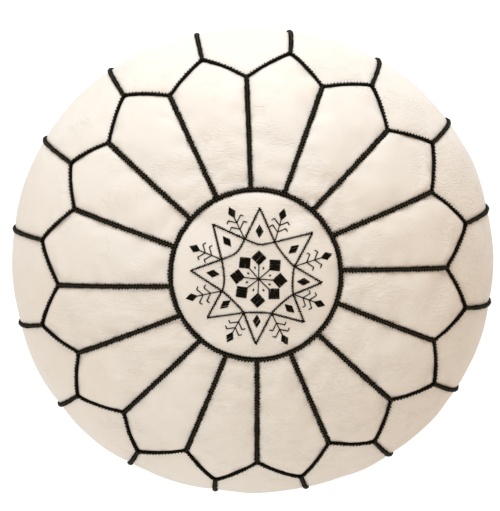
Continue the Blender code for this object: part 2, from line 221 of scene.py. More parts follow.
class PoufStage(bpy.types.PropertyGroup):
    distance: length("Camera distance", "From the pouf's waist", 2.2)
    tilt: bpy.props.FloatProperty(
        name="Camera tilt", description="Past the vertical, towards +Y", default=math.radians(4.5), unit="ROTATION"
    )
    view_height: length("View height", "What the picture takes in at the waist", 0.556)
    key_power: number("Key light", "Watts of the low window light behind", 31)
    fill_power: number("Fill light", "Watts of the weak light in front on the left", 13)
    sky: number("Sky", "Brightness of the warm surround", 0.70)


# ---------------------------------------------------------------- the seam surface


def outline(angle):
    return 1 + OVAL * np.cos(2 * angle) - SQUARENESS * np.cos(4 * angle)


def body(angle, phi, inset=0.0):
    """Points of the seam surface, phi from 0 at the top's centre to pi at the base's."""
    out = np.abs(np.sin(phi))
    up = np.abs(np.cos(phi))
    on_top_half = phi <= math.pi / 2
    power = np.where(on_top_half, 2 / TOP_BULGE, 2 / BASE_BULGE)
    radius = (RADIUS - inset) * out**power * outline(angle)
    above = WAIST + (RISE - inset) * up**power
    below = np.maximum(0, WAIST - (DROP - inset) * up**power)
    return np.stack([radius * np.cos(angle), radius * np.sin(angle), np.where(on_top_half, above, below)], -1)


def body_normal(angle, phi):
    small = 0.01
    around = body(angle + small, phi) - body(angle - small, phi)
    down = body(angle, phi + small) - body(angle, phi - small)
    normal = np.cross(down, around)
    return normal / np.linalg.norm(normal, axis=-1, keepdims=True)


def on_top(plan):
    """Angle and phi of the points of the top that lie over these points of the plan."""
    angle = np.arctan2(plan[..., 1], plan[..., 0])
    share = np.linalg.norm(plan, axis=-1) / (RADIUS * outline(angle))
    return angle, np.arcsin(share ** (TOP_BULGE / 2))


def polar(angle, radius):
    angle = np.asarray(angle, float)
    return np.stack([radius * np.cos(angle), radius * np.sin(angle)], -1)


SEAM_NUMBERS = np.arange(PANELS)
VALLEYS = polar(
    FIRST_SEAM - STEP * SEAM_NUMBERS + np.radians(VALLEY_STRAY), VALLEY_RADIUS + np.array(VALLEY_REACH) / 1000
)
TIPS = polar(
    FIRST_SEAM - STEP * (SEAM_NUMBERS + 0.5) + np.radians(TIP_STRAY), TIP_RADIUS + np.array(TIP_REACH) / 1000
)


def mixed(start, end, share):
    return start + (end - start) * share[..., None]


def scallop(s):
    """Plan points of the zigzag seam: whole s is a valley, half s a tip."""
    s = np.asarray(s, float)
    i = np.floor(s).astype(int)
    share = 2 * (s - i)
    rising = (share <= 1)[..., None]
    tips = TIPS[i % PANELS]
    start = np.where(rising, VALLEYS[i % PANELS], tips)
    end = np.where(rising, tips, VALLEYS[(i + 1) % PANELS])
    share = np.where(share <= 1, share, share - 1)
    point = mixed(start, end, share)
    outward = point / np.linalg.norm(point, axis=-1, keepdims=True)
    return point + outward * (SHOULDER_BOW * 4 * share * (1 - share))[..., None]


def ring(s):
    s = np.asarray(s, float)
    i = np.floor(s).astype(int)
    stray = np.array(RING_STRAY, float)
    first, second = stray[i % PANELS], stray[(i + 1) % PANELS]
    angle = FIRST_SEAM - STEP * s + np.radians(first + (second - first) * (s - i))
    return MEDALLION_CENTRE + polar(angle, MEDALLION_RADIUS)


def petal_place(s, along):
    return on_top(mixed(ring(s), scallop(s), along))


def side_place(s, along):
    """Angle and phi on the side, from the scallop at 0 to the base seam at 1."""
    angle, phi = on_top(scallop(s))
    base_angle = FIRST_SEAM - STEP * s
    drift = (angle - base_angle + math.pi) % (2 * math.pi) - math.pi
    return base_angle + drift * (1 - along) ** 2, phi + (BASE_SEAM_PHI - phi) * along


def smooth(start, end, value):
    share = np.clip((value - start) / (end - start), 0, 1)
    return share * share * (3 - 2 * share)


def zip_trough(points, depth, spread=0.0):
    """Height of the hollow over the zip at these points, spread wider on every side."""
    across = 1 - smooth(TROUGH_FLAT + spread, TROUGH_EDGE + spread, np.abs(points[..., 1]))
    along = 1 - smooth(TROUGH_FULL + spread, TROUGH_END + spread, np.abs(points[..., 0]))
    return depth * across * along


def base_height(x, y):
    """Height of the base's outer face."""
    angle = np.arctan2(y, x)
    share = np.minimum(1, np.hypot(x, y) / (RADIUS * outline(angle)))
    height = body(angle, math.pi - np.arcsin(share ** (BASE_BULGE / 2)))[..., 2]
    return np.maximum(height, zip_trough(np.stack([x, y], -1), TROUGH_DEPTH))


def zip_opening(x):
    """Half the gap between the base panels."""
    opened = 1 - smooth(TAPE_HALF_LENGTH, OPENING_HALF, np.abs(x))
    return BUTT_HALF + (SLIT_HALF - BUTT_HALF) * opened


def base_form(side):
    """Half of the base disc: side is -1 for the front half and 1 for the back one."""
    across, along = np.meshgrid(*(np.linspace(0, 1, n + 1) for n in BASE_GRID), indexing="ij")
    angle = BASE_END + (math.pi - 2 * BASE_END) * across
    rim = body(angle, np.full(angle.shape, BASE_SEAM_PHI))[..., :2]
    rim *= 1 - 0.001 / np.linalg.norm(rim, axis=-1, keepdims=True)
    inner = zip_opening(rim[..., 0])
    y = inner + (rim[..., 1] - inner) * along**BASE_CROWDING
    points = np.stack([rim[..., 0], side * y, base_height(rim[..., 0], side * y)], -1)
    return points if side > 0 else points[::-1]


def crowded(share):
    """Shares of 0 to 1 drawn towards both ends, where the leather turns into its seams."""
    return share - EDGE_CROWDING * np.sin(2 * math.pi * share) / (2 * math.pi)


def inset_share(share, length):
    short = EDGE_GAP / length
    return short + (1 - 2 * short) * share


def lattice(grid):
    across, along = np.meshgrid(
        np.linspace(0, 1, grid[0] + 1), np.linspace(0, 1, grid[1] + 1), indexing="ij"
    )
    return crowded(across), crowded(along)


def petal_form(i):
    across, along = lattice(PETAL_GRID)
    s = i + inset_share(across, 0.033 + 0.044 * along)
    return body(*petal_place(s, inset_share(along, 0.115)))


def side_form(i):
    across, along = lattice(SIDE_GRID)
    return body(*side_place(i + 0.5 + inset_share(across, 0.09), inset_share(along, 0.23)))


def medallion_form():
    """A square lattice drawn out to a disc."""
    u, v = np.meshgrid(*(np.linspace(-1, 1, n + 1) for n in MEDALLION_GRID), indexing="ij")
    disc = np.stack([u * np.sqrt(1 - v * v / 2), v * np.sqrt(1 - u * u / 2)], -1)
    return body(*on_top(MEDALLION_CENTRE + (MEDALLION_RADIUS - EDGE_GAP) * disc))


def cover_forms():
    """Every stuffed panel's unstuffed points, by name."""
    forms = {f"petal_{i + 1:02d}": petal_form(i) for i in range(PANELS)}
    forms.update({f"side_panel_{i + 1:02d}": side_form(i) for i in range(PANELS)})
    forms["medallion"] = medallion_form()
    return forms


# ---------------------------------------------------------------- mesh tools


def grid_quads(rows, columns, first=0):
    corner = first + (np.arange(rows - 1)[:, None] * columns + np.arange(columns - 1)[None, :]).ravel()
    return np.stack([corner, corner + columns, corner + columns + 1, corner + 1], -1)


def edge_mask(rows, columns):
    mask = np.ones((rows, columns), bool)
    mask[1:-1, 1:-1] = False
    return mask


def mesh_of(name, points, loops, sizes):
    mesh = bpy.data.meshes.new(name)
    mesh.vertices.add(len(points))
    mesh.vertices.foreach_set("co", np.ascontiguousarray(points, np.float32).ravel())
    mesh.loops.add(len(loops))
    mesh.loops.foreach_set("vertex_index", np.ascontiguousarray(loops, np.int32))
    mesh.polygons.add(len(sizes))
    starts = np.concatenate([[0], np.cumsum(sizes)[:-1]])
    mesh.polygons.foreach_set("loop_start", starts.astype(np.int32))
    mesh.polygons.foreach_set("loop_total", np.asarray(sizes, np.int32))
    mesh.update(calc_edges=True)
    mesh.validate()
    return mesh


def quad_mesh(name, points, quads):
    return mesh_of(name, points, quads.ravel(), np.full(len(quads), 4))


def coordinates(mesh):
    points = np.zeros(len(mesh.vertices) * 3, np.float32)
    mesh.vertices.foreach_get("co", points)
    return points.reshape(-1, 3).astype(float)


def vertex_normals(mesh):
    normals = np.zeros(len(mesh.vertices) * 3, np.float32)
    mesh.vertex_normals.foreach_get("vector", normals)
    return normals.reshape(-1, 3).astype(float)


def link(name, mesh):
    made = bpy.data.objects.new(name, mesh)
    bpy.context.scene.collection.objects.link(made)
    return made


def only(obj):
    """Makes obj the one selected and active object."""
    bpy.ops.object.select_all(action="DESELECT")
    obj.select_set(True)
    bpy.context.view_layer.objects.active = obj


def apply_modifiers(obj):
    only(obj)
    for modifier in list(obj.modifiers):
        bpy.ops.object.modifier_apply(modifier=modifier.name)


def subdivide(obj, levels=1):
    smooth = obj.modifiers.new("smooth", "SUBSURF")
    smooth.levels = smooth.render_levels = levels
    apply_modifiers(obj)


def thicken(obj, thickness):
    wall = obj.modifiers.new("thickness", "SOLIDIFY")
    wall.thickness = thickness
    wall.offset = -1
    apply_modifiers(obj)
    obj.data.shade_smooth()


def waves(points, wavelength, seed, count=6):
    """Smooth seeded unevenness between about -1 and 1."""
    random = np.random.default_rng(seed)
    total = np.zeros(points.shape[:-1])
    for _ in range(count):
        direction = random.normal(size=points.shape[-1])
        direction *= 2 * math.pi / (wavelength * random.uniform(0.7, 1.5) * np.linalg.norm(direction))
        total += np.sin(points @ direction + random.uniform(0, 2 * math.pi))
    return total / math.sqrt(count)


# ---------------------------------------------------------------- stuffing the cover


class POUF_OT_stuff_cover(bpy.types.Operator):
    """Sews the petals, side panels and medallion flat to their seams and fills them by cloth simulation"""

    bl_idname = "pouf.stuff_cover"
    bl_label = "Stuff the cover"

    def execute(self, context):
        form = context.scene.pouf_form
        forms = cover_forms()
        points = np.concatenate([f.reshape(-1, 3) for f in forms.values()])
        pinned = np.concatenate([edge_mask(*f.shape[:2]).ravel() for f in forms.values()])
        quads, first = [], 0
        for f in forms.values():
            quads.append(grid_quads(*f.shape[:2], first))
            first += f.shape[0] * f.shape[1]
        mesh = quad_mesh(STUFFED_COVER, points, np.concatenate(quads))
        swollen = points.copy()
        swollen = self.simulate(context, form, mesh, pinned)
        move = (swollen - points) * self.give(forms, form)
        far = np.linalg.norm(move, axis=1, keepdims=True)
        move *= np.minimum(1, form.swell_limit / np.maximum(far, 1e-9))
        mesh.vertices.foreach_set("co", (points + move).astype(np.float32).ravel())
        mesh.update()
        mesh.use_fake_user = True
        return {"FINISHED"}

    def give(self, forms, form):
        """How much of its swell each point keeps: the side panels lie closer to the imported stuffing."""
        shares = [
            np.full(f.shape[0] * f.shape[1], form.side_give if name.startswith("side") else 1.0)
            for name, f in forms.items()
        ]
        return np.concatenate(shares)[:, None]

    def plain_swell(self, forms):
        swollen = []
        for form in forms.values():
            u, v = np.meshgrid(*(np.linspace(0, 1, n) for n in form.shape[:2]), indexing="ij")
            normal = unit(np.cross(np.gradient(form, axis=1), np.gradient(form, axis=0)))
            if normal[form.shape[0] // 2, form.shape[1] // 4] @ (form[form.shape[0] // 2, form.shape[1] // 4] - (0, 0, WAIST)) < 0:
                normal = -normal
            swollen.append((form + normal * (0.005 * (16 * u * (1 - u) * v * (1 - v)) ** 0.7)[..., None]).reshape(-1, 3))
        return np.concatenate(swollen)

    def simulate(self, context, form, mesh, pinned):
        cover = link(STUFFED_COVER, mesh)
        rest = coordinates(mesh)
        uneven = waves(rest, 0.03, seed=3)[:, None] * vertex_normals(mesh) * 0.0001
        uneven[pinned] = 0
        mesh.vertices.foreach_set("co", (rest + uneven).astype(np.float32).ravel())
        seams = cover.vertex_groups.new(name="seams")
        seams.add([int(i) for i in np.flatnonzero(pinned)], 1.0, "REPLACE")
        cloth = cover.modifiers.new("Cloth", "CLOTH")
        settings = cloth.settings
        settings.quality = 6
        settings.mass = 0.3
        settings.tension_stiffness = settings.compression_stiffness = 60
        settings.shear_stiffness = 30
        settings.bending_stiffness = 3
        settings.tension_damping = settings.compression_damping = settings.shear_damping = 25
        settings.air_damping = 4
        settings.vertex_group_mass = "seams"
        settings.use_pressure = True
        settings.uniform_pressure_force = form.pressure
        settings.shrink_min = -form.spare
        settings.effector_weights.gravity = 0
        cloth.collision_settings.use_collision = False
        cloth.point_cache.frame_start, cloth.point_cache.frame_end = 1, 20
        for number in range(1, 21):
            context.scene.frame_set(number)
        stuffed = cover.evaluated_get(context.evaluated_depsgraph_get())
        swollen = coordinates(stuffed.data)
        context.scene.frame_set(1)
        bpy.data.objects.remove(cover)
        return swollen



# ---------------------------------------------------------------- node trees


def add_node(tree, kind, settings=None, **inputs):
    """A node with its settings and inputs: an input is a value, or a socket to link from."""
    node = tree.nodes.new(kind)
    for name, value in (settings or {}).items():
        setattr(node, name, value)
    for name, value in inputs.items():
        plug(tree, node.inputs[name.replace("_", " ")], value)
    return node


def plug(tree, socket, value):
    if isinstance(value, bpy.types.NodeSocket):
        tree.links.new(value, socket)
    else:
        socket.default_value = value


def maths(tree, operation, first, second=0.0):
    node = tree.nodes.new("ShaderNodeMath")
    node.operation = operation
    plug(tree, node.inputs[0], first)
    plug(tree, node.inputs[1], second)
    return node.outputs[0]


def between(tree, value, low, high, start=0.0, end=1.0):
    """Start where value is low or less, end where it is high or more."""
    node = add_node(
        tree, "ShaderNodeMapRange", {"interpolation_type": "SMOOTHSTEP"},
        Value=value, From_Min=low, From_Max=high, To_Min=start, To_Max=end,
    )
    return node.outputs[0]


def blended(tree, share, first, second, kind="MIX"):
    node = tree.nodes.new("ShaderNodeMix")
    node.data_type = "RGBA"
    node.blend_type = kind
    plug(tree, node.inputs[0], share)
    for socket, value in zip(node.inputs[6:8], (first, second)):
        plug(tree, socket, value if isinstance(value, bpy.types.NodeSocket) else (*value, 1))
    return node.outputs[2]


def noise(tree, vector, scale, detail=3.0, roughness=0.5, distortion=0.0):
    node = add_node(
        tree, "ShaderNodeTexNoise", None,
        Vector=vector, Scale=scale, Detail=detail, Roughness=roughness, Distortion=distortion,
    )
    return node.outputs[0]


def node_group(name, inputs, outputs, build):
    """A shader node group, built once: inputs are names with defaults, outputs are names with socket kinds."""
    if name in bpy.data.node_groups:
        return bpy.data.node_groups[name]
    tree = bpy.data.node_groups.new(name, "ShaderNodeTree")
    for label, default in inputs.items():
        socket = tree.interface.new_socket(label, in_out="INPUT", socket_type="NodeSocketFloat")
        socket.default_value = default
    for label in outputs:
        tree.interface.new_socket(label, in_out="OUTPUT", socket_type="NodeSocketFloat")
    given = tree.nodes.new("NodeGroupInput")
    result = tree.nodes.new("NodeGroupOutput")
    for label, socket in build(tree, given.outputs).items():
        tree.links.new(socket, result.inputs[label])
    return tree


def use_group(tree, group, **inputs):
    node = tree.nodes.new("ShaderNodeGroup")
    node.node_tree = group
    for name, value in inputs.items():
        plug(tree, node.inputs[name.replace("_", " ")], value)
    return node.outputs


def object_place(tree):
    return tree.nodes.new("ShaderNodeTexCoord").outputs["Object"]


def build_grain(tree, given):
    place = object_place(tree)
    pebbles = add_node(tree, "ShaderNodeTexVoronoi", {"feature": "SMOOTH_F1"}, Vector=place, Scale=given["Pebbles"])
    pores = noise(tree, place, maths(tree, "MULTIPLY", given["Pebbles"], 2.4), 2)
    wander = noise(tree, place, 34, 2)
    swirl = add_node(tree, "ShaderNodeTexNoise", None, Vector=place, Scale=22.0)
    bent = add_node(tree, "ShaderNodeVectorMath", {"operation": "MULTIPLY_ADD"})
    tree.links.new(swirl.outputs["Color"], bent.inputs[0])
    bent.inputs[1].default_value = (0.03, 0.03, 0.03)
    tree.links.new(place, bent.inputs[2])
    folds = add_node(tree, "ShaderNodeTexVoronoi", {"feature": "DISTANCE_TO_EDGE"}, Vector=bent.outputs[0], Scale=given["Creases"])
    crease = between(tree, folds.outputs["Distance"], 0.0, 0.07, 1.0, 0.0)
    creased = maths(tree, "MULTIPLY", crease, between(tree, wander, 0.5, 0.72))
    height = maths(tree, "ADD", maths(tree, "MULTIPLY", pebbles.outputs["Distance"], 0.55), maths(tree, "MULTIPLY", pores, 0.35))
    spot = add_node(tree, "ShaderNodeSeparateXYZ", None, Vector=place)
    lean = maths(tree, "MULTIPLY", maths(tree, "SUBTRACT", spot.outputs[0], spot.outputs[1]), 0.5)
    slack = between(tree, maths(tree, "ADD", noise(tree, place, 11, 1), lean), 0.43, 0.57, 0.1, 1.0)
    wrinkles = 0.0
    for turn, low, high in ((0.5, 0.44, 0.62), (-0.9, 0.58, 0.42)):
        drawn = add_node(tree, "ShaderNodeMapping", None, Vector=bent.outputs[0], Rotation=(0, 0, turn), Scale=(0.22, 1, 0.6))
        ridge = maths(tree, "ABSOLUTE", maths(tree, "SUBTRACT", noise(tree, drawn.outputs[0], given["Wrinkles"], 3, 0.55), 0.5))
        line = between(tree, ridge, 0.0, 0.10, 1.0, 0.0)
        wrinkles = maths(tree, "ADD", wrinkles, maths(tree, "MULTIPLY", line, between(tree, wander, low, high)))
    wrinkles = maths(tree, "MULTIPLY", wrinkles, slack)
    return {"Height": height, "Crease": creased, "Pore": pores, "Wrinkle": wrinkles}


def grain_group():
    return node_group(
        "skin grain",
        {"Pebbles": 900.0, "Creases": 70.0, "Wrinkles": 260.0},
        ("Height", "Crease", "Pore", "Wrinkle"),
        build_grain,
    )


def build_mottle(tree, given):
    place = object_place(tree)
    broad = between(tree, noise(tree, place, given["Broad"], 2), 0.35, 0.68)
    small = between(tree, noise(tree, place, given["Small"], 4, 0.6), 0.3, 0.75)
    return {"Broad": broad, "Small": small}


def mottle_group():
    return node_group("hand mottle", {"Broad": 9.0, "Small": 60.0}, ("Broad", "Small"), build_mottle)


def build_fibre(tree, given):
    """Twisted strands along a stitch, whose UV runs round it in U and along it in V."""
    uv = add_node(tree, "ShaderNodeSeparateXYZ", None, Vector=tree.nodes.new("ShaderNodeTexCoord").outputs["UV"])
    turned = maths(tree, "ADD", maths(tree, "MULTIPLY", uv.outputs[0], given["Strands"]), maths(tree, "MULTIPLY", uv.outputs[1], given["Twist"]))
    strand = maths(tree, "SINE", maths(tree, "MULTIPLY", turned, 2 * math.pi))
    fuzz = noise(tree, object_place(tree), 2600, 2)
    height = maths(tree, "ADD", maths(tree, "MULTIPLY", strand, 0.35), fuzz)
    lot = noise(tree, object_place(tree), 160, 1)
    return {"Height": height, "Lot": between(tree, lot, 0.3, 0.7)}


def fibre_group():
    return node_group("thread fibre", {"Strands": 4.0, "Twist": 2.0}, ("Height", "Lot"), build_fibre)


def build_weave(tree, given):
    spot = add_node(tree, "ShaderNodeSeparateXYZ", None, Vector=object_place(tree))
    along = maths(tree, "MULTIPLY", spot.outputs[0], maths(tree, "MULTIPLY", given["Threads"], 2 * math.pi))
    across = maths(tree, "MULTIPLY", spot.outputs[1], maths(tree, "MULTIPLY", given["Threads"], 2 * math.pi))
    twill = maths(tree, "SINE", maths(tree, "ADD", along, across))
    ribs = maths(tree, "SINE", maths(tree, "MULTIPLY", across, 1.5))
    return {"Height": maths(tree, "ADD", maths(tree, "MULTIPLY", twill, 0.35), maths(tree, "MULTIPLY", ribs, 0.25))}


def weave_group():
    return node_group("twill weave", {"Threads": 900.0}, ("Height",), build_weave)


def build_wear(tree, given):
    """Where handling has rubbed metal bright and where it has dulled, with fine scratches."""
    place = object_place(tree)
    stretched = add_node(tree, "ShaderNodeMapping", None, Vector=place, Scale=(given_scale(), 1.0, 1.0))
    scratches = between(tree, noise(tree, stretched.outputs[0], 1800, 2), 0.58, 0.7)
    dull = between(tree, noise(tree, place, given["Patches"], 4, 0.6), 0.35, 0.7)
    return {"Scratches": scratches, "Dull": dull}


def given_scale():
    """Scratches are drawn out along the zip."""
    return 0.12


def wear_group():
    return node_group("handling wear", {"Patches": 260.0}, ("Scratches", "Dull"), build_wear)


# ---------------------------------------------------------------- materials


def new_material(name):
    made = bpy.data.materials.new(name)
    made.use_nodes = True
    return made, made.node_tree, made.node_tree.nodes["Principled BSDF"]


def bump(tree, shader, height, depth, strength=1.0):
    node = add_node(tree, "ShaderNodeBump", None, Height=height, Strength=strength, Distance=depth)
    if shader.inputs["Normal"].is_linked:
        plug(tree, node.inputs["Normal"], shader.inputs["Normal"].links[0].from_socket)
    tree.links.new(node.outputs[0], shader.inputs["Normal"])


def make_leather(name, pebbles, creases, painted_seam_shade, tan):
    """Bleached sheepskin. Tan shifts it to its warmer tone; the seam shade paints shade into the colour beside the
    braid and the zip, where the seam's dip lies in shadow.
    """
    colours = bpy.context.scene.pouf_colours
    made, tree, shader = new_material(name)
    grain = use_group(tree, grain_group(), Pebbles=pebbles, Creases=creases)
    mottle = use_group(tree, mottle_group())
    warm = maths(tree, "ADD", maths(tree, "MULTIPLY", mottle["Broad"], 0.45), maths(tree, "MULTIPLY", mottle["Small"], 0.25))
    base = blended(tree, maths(tree, "ADD", warm, tan), tuple(colours.leather), tuple(colours.leather_tone))
    # Painted shade: the leather is coloured darker along its creases, where the folds lie in shadow.
    base = blended(tree, maths(tree, "MULTIPLY", grain["Crease"], 0.10), base, (0.60, 0.47, 0.36))
    # Painted shade: the leather's colour darkens beside the braid and the zip, where the seam's dip and the braid shade
    # it.
    beside = tree.nodes.new("ShaderNodeAttribute")
    beside.attribute_name = "seam_distance"
    near = between(tree, beside.outputs["Fac"], 0.0005, 0.006, painted_seam_shade, 0.0)
    base = blended(tree, near, base, (0.42, 0.33, 0.25))
    tree.links.new(base, shader.inputs["Base Color"])
    rough = maths(tree, "ADD", maths(tree, "MULTIPLY", mottle["Small"], 0.10), maths(tree, "MULTIPLY", grain["Pore"], 0.12))
    tree.links.new(maths(tree, "ADD", rough, 0.42), shader.inputs["Roughness"])
    shader.inputs["Specular IOR Level"].default_value = 0.4
    shader.inputs["Sheen Weight"].default_value = 0.06
    shader.inputs["Sheen Roughness"].default_value = 0.5
    bump(tree, shader, grain["Height"], 0.00022, 0.35)
    bump(tree, shader, maths(tree, "MULTIPLY", grain["Crease"], -1.0), 0.0004, 0.5)
    bump(tree, shader, maths(tree, "MULTIPLY", grain["Wrinkle"], -1.0), 0.0005, 0.7)
    return made


def make_thread(name, shade, strands, roughness):
    made, tree, shader = new_material(name)
    fibre = use_group(tree, fibre_group(), Strands=strands)
    lighter = tuple(min(1, 1.8 * c + 0.002) for c in shade)
    mixed_shade = blended(tree, maths(tree, "MULTIPLY", fibre["Lot"], 0.8), tuple(shade), lighter)
    # Painted highlight: each strand's raised ridge is coloured lighter, where light would catch it.
    raised = between(tree, fibre["Height"], 0.3, 0.95)
    strand = blended(tree, maths(tree, "MULTIPLY", raised, 0.35), mixed_shade, lighter)
    # Painted highlight: the crown stitches are coloured far lighter on top, where the stitches cross and catch the
    # light.
    crown = tree.nodes.new("ShaderNodeAttribute")
    crown.attribute_name = "crown"
    wear_and_highlight = tuple(min(1, 10 * c + 0.03) for c in shade)
    share = maths(tree, "MULTIPLY", crown.outputs["Fac"], between(tree, fibre["Height"], 0.1, 0.8, 0.3, 1.0))
    tree.links.new(blended(tree, share, strand, wear_and_highlight), shader.inputs["Base Color"])
    tree.links.new(maths(tree, "ADD", maths(tree, "MULTIPLY", fibre["Lot"], 0.15), roughness), shader.inputs["Roughness"])
    shader.inputs["Specular IOR Level"].default_value = 0.05
    bump(tree, shader, fibre["Height"], 0.00012, 0.7)
    return made


def make_cotton(name):
    made, tree, shader = new_material(name)
    mottle = use_group(tree, mottle_group(), Broad=25.0, Small=300.0)
    place = object_place(tree)
    tufts = noise(tree, place, 420, 6, 0.65, 1.2)
    dark = tuple(0.72 * c for c in bpy.context.scene.pouf_colours.cotton)
    share = maths(tree, "MULTIPLY", maths(tree, "ADD", mottle["Broad"], mottle["Small"]), 0.5)
    tree.links.new(blended(tree, share, tuple(bpy.context.scene.pouf_colours.cotton), dark), shader.inputs["Base Color"])
    tree.links.new(between(tree, tufts, 0.2, 0.8, 0.85, 1.0), shader.inputs["Roughness"])
    shader.inputs["Sheen Weight"].default_value = 0.4
    bump(tree, shader, tufts, 0.0012, 0.8)
    return made


def make_tape(name):
    made, tree, shader = new_material(name)
    weave = use_group(tree, weave_group())
    mottle = use_group(tree, mottle_group(), Broad=40.0, Small=500.0)
    cloth = bpy.context.scene.pouf_colours.tape
    dark = tuple(0.7 * c for c in cloth)
    # Painted shade: the weave's low threads are coloured darker, where the hollows between the threads lie in shadow.
    share = between(tree, weave["Height"], -0.4, 0.4, 0.8, 0.0)
    woven = blended(tree, share, tuple(cloth), dark)
    tree.links.new(blended(tree, maths(tree, "MULTIPLY", mottle["Small"], 0.2), woven, dark), shader.inputs["Base Color"])
    tree.links.new(between(tree, mottle["Broad"], 0.0, 1.0, 0.8, 0.95), shader.inputs["Roughness"])
    shader.inputs["Sheen Weight"].default_value = 0.2
    bump(tree, shader, weave["Height"], 0.0002, 0.8)
    return made


def make_moulding(name):
    made, tree, shader = new_material(name)
    mottle = use_group(tree, mottle_group(), Broad=90.0, Small=900.0)
    resin = bpy.context.scene.pouf_colours.teeth
    wear_and_highlight = tuple(0.8 * c for c in resin)
    tree.links.new(blended(tree, maths(tree, "MULTIPLY", mottle["Broad"], 0.5), tuple(resin), wear_and_highlight), shader.inputs["Base Color"])
    tree.links.new(between(tree, mottle["Small"], 0.0, 1.0, 0.32, 0.5), shader.inputs["Roughness"])
    bump(tree, shader, mottle["Small"], 0.00004, 0.4)
    return made


def make_brass(name):
    made, tree, shader = new_material(name)
    wear = use_group(tree, wear_group())
    metal = bpy.context.scene.pouf_colours.brass
    dull = tuple(0.55 * c for c in metal)
    tree.links.new(blended(tree, maths(tree, "MULTIPLY", wear["Dull"], 0.7), tuple(metal), dull), shader.inputs["Base Color"])
    rough = maths(tree, "ADD", maths(tree, "MULTIPLY", wear["Dull"], 0.2), maths(tree, "MULTIPLY", wear["Scratches"], 0.15))
    tree.links.new(maths(tree, "ADD", rough, 0.22), shader.inputs["Roughness"])
    shader.inputs["Metallic"].default_value = 1.0
    bump(tree, shader, wear["Scratches"], 0.00003, 0.5)
    return made


def make_floor_finish(name):
    """A near-white sweep of studio paper."""
    made, tree, shader = new_material(name)
    paper = noise(tree, object_place(tree), 3, 2)
    tree.links.new(blended(tree, paper, (0.44, 0.44, 0.44), (0.46, 0.46, 0.46)), shader.inputs["Base Color"])
    tree.links.new(between(tree, paper, 0.0, 1.0, 0.85, 0.95), shader.inputs["Roughness"])
    shader.inputs["Emission Color"].default_value = (1, 1, 1, 1)
    seen = tree.nodes.new("ShaderNodeLightPath").outputs["Is Camera Ray"]
    tree.links.new(between(tree, seen, 0.0, 1.0, 0.49, 0.80), shader.inputs["Emission Strength"])
    return made


FINISHES = {
    # The third number of each leather is how strongly painted shade darkens it beside its seams and the zip.
    "cream leather": lambda name: make_leather(name, 900.0, 55.0, 0.04, 0.0),
    "medallion leather": lambda name: make_leather(name, 1000.0, 80.0, 0.04, 0.06),
    "base leather": lambda name: make_leather(name, 650.0, 60.0, 0.30, 0.35),
    "braid thread": lambda name: make_thread(name, bpy.context.scene.pouf_colours.thread, 4.0, 0.34),
    "embroidery thread": lambda name: make_thread(name, bpy.context.scene.pouf_colours.thread, 3.0, 0.38),
    "cream thread": lambda name: make_thread(name, bpy.context.scene.pouf_colours.cream_thread, 3.0, 0.6),
    "waste cotton": make_cotton,
    "zip tape": make_tape,
    "moulded teeth": make_moulding,
    "worn brass": make_brass,
    "studio paper": make_floor_finish,
}


def finish_with(obj, name):
    """Gives the piece its material, made the first time that it's asked for."""
    obj.data.materials.clear()
    obj.data.materials.append(bpy.data.materials.get(name) or FINISHES[name](name))


def ready(obj, body_name, slot, finish, *nodes):
    """Gives a finished piece its material, hangs it on the body that it rides on and hides the imported parts that it
    stands for.
    """
    finish_with(obj, finish)
    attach(obj, body_name)
    if nodes:
        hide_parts(*nodes)
    return obj


# ---------------------------------------------------------------- leather


def stuffed_points(name):
    """A panel's lattice of points after stuffing."""
    first = 0
    cover = coordinates(bpy.data.meshes[STUFFED_COVER])
    for other, form in cover_forms().items():
        count = form.shape[0] * form.shape[1]
        if other == name:
            return cover[first:first + count].reshape(form.shape)
        first += count
    raise ValueError(f"{name} isn't a stuffed panel")


def edge_run(lattice_points):
    """The panel's edge as one closed run of points."""
    p = lattice_points
    return np.concatenate([p[:-1, 0], p[-1, :-1], p[:0:-1, -1], p[0, :0:-1]])


def refined(run, times):
    """A closed run of points with more between each two."""
    after = np.roll(run, -1, axis=0)
    shares = np.arange(times) / times
    return (run[:, None] + (after - run)[:, None] * shares[None, :, None]).reshape(-1, 3)


def run_lengths(run):
    steps = np.linalg.norm(np.roll(run, -1, axis=0) - run, axis=1)
    return np.concatenate([[0], np.cumsum(steps)[:-1]])


def gathers(along, seed):
    """Seeded puckers along a seam, between about -1 and 1."""
    random = np.random.default_rng(seed)
    total = np.zeros(len(along))
    for wavelength in random.uniform(*GATHER_LENGTHS, size=5):
        total += np.sin(2 * math.pi * along / wavelength + random.uniform(0, 2 * math.pi))
    return total / 2.5


def shape_leather(obj, seams, seed):
    """Dips the leather into its seams, gathers it there and lets the stuffing's lumps show."""
    form = bpy.context.scene.pouf_form
    along = run_lengths(seams)
    tree = KDTree(len(seams))
    for index, point in enumerate(seams):
        tree.insert(point, index)
    tree.balance()
    points, normals = coordinates(obj.data), vertex_normals(obj.data)
    nearest = [tree.find(point) for point in points]
    distance = np.array([found[2] for found in nearest])
    place = along[[found[1] for found in nearest]]
    rise = form.seam_depth * (1 - np.exp(-distance / form.seam_reach))
    rise += form.pucker * gathers(place, seed) * np.exp(-distance / PUCKER_REACH) * (1 - np.exp(-distance / 0.001))
    rise += form.lump * waves(points, LUMP_LENGTH, seed) * (1 - np.exp(-distance / LUMP_REACH))
    obj.data.vertices.foreach_set("co", (points + normals * rise[:, None]).astype(np.float32).ravel())
    # The distance from the seams, which sets where painted shade darkens the leather's colour.
    stored = obj.data.attributes.new("seam_distance", "FLOAT", "POINT")
    stored.data.foreach_set("value", distance.astype(np.float32))
    obj.data.update()


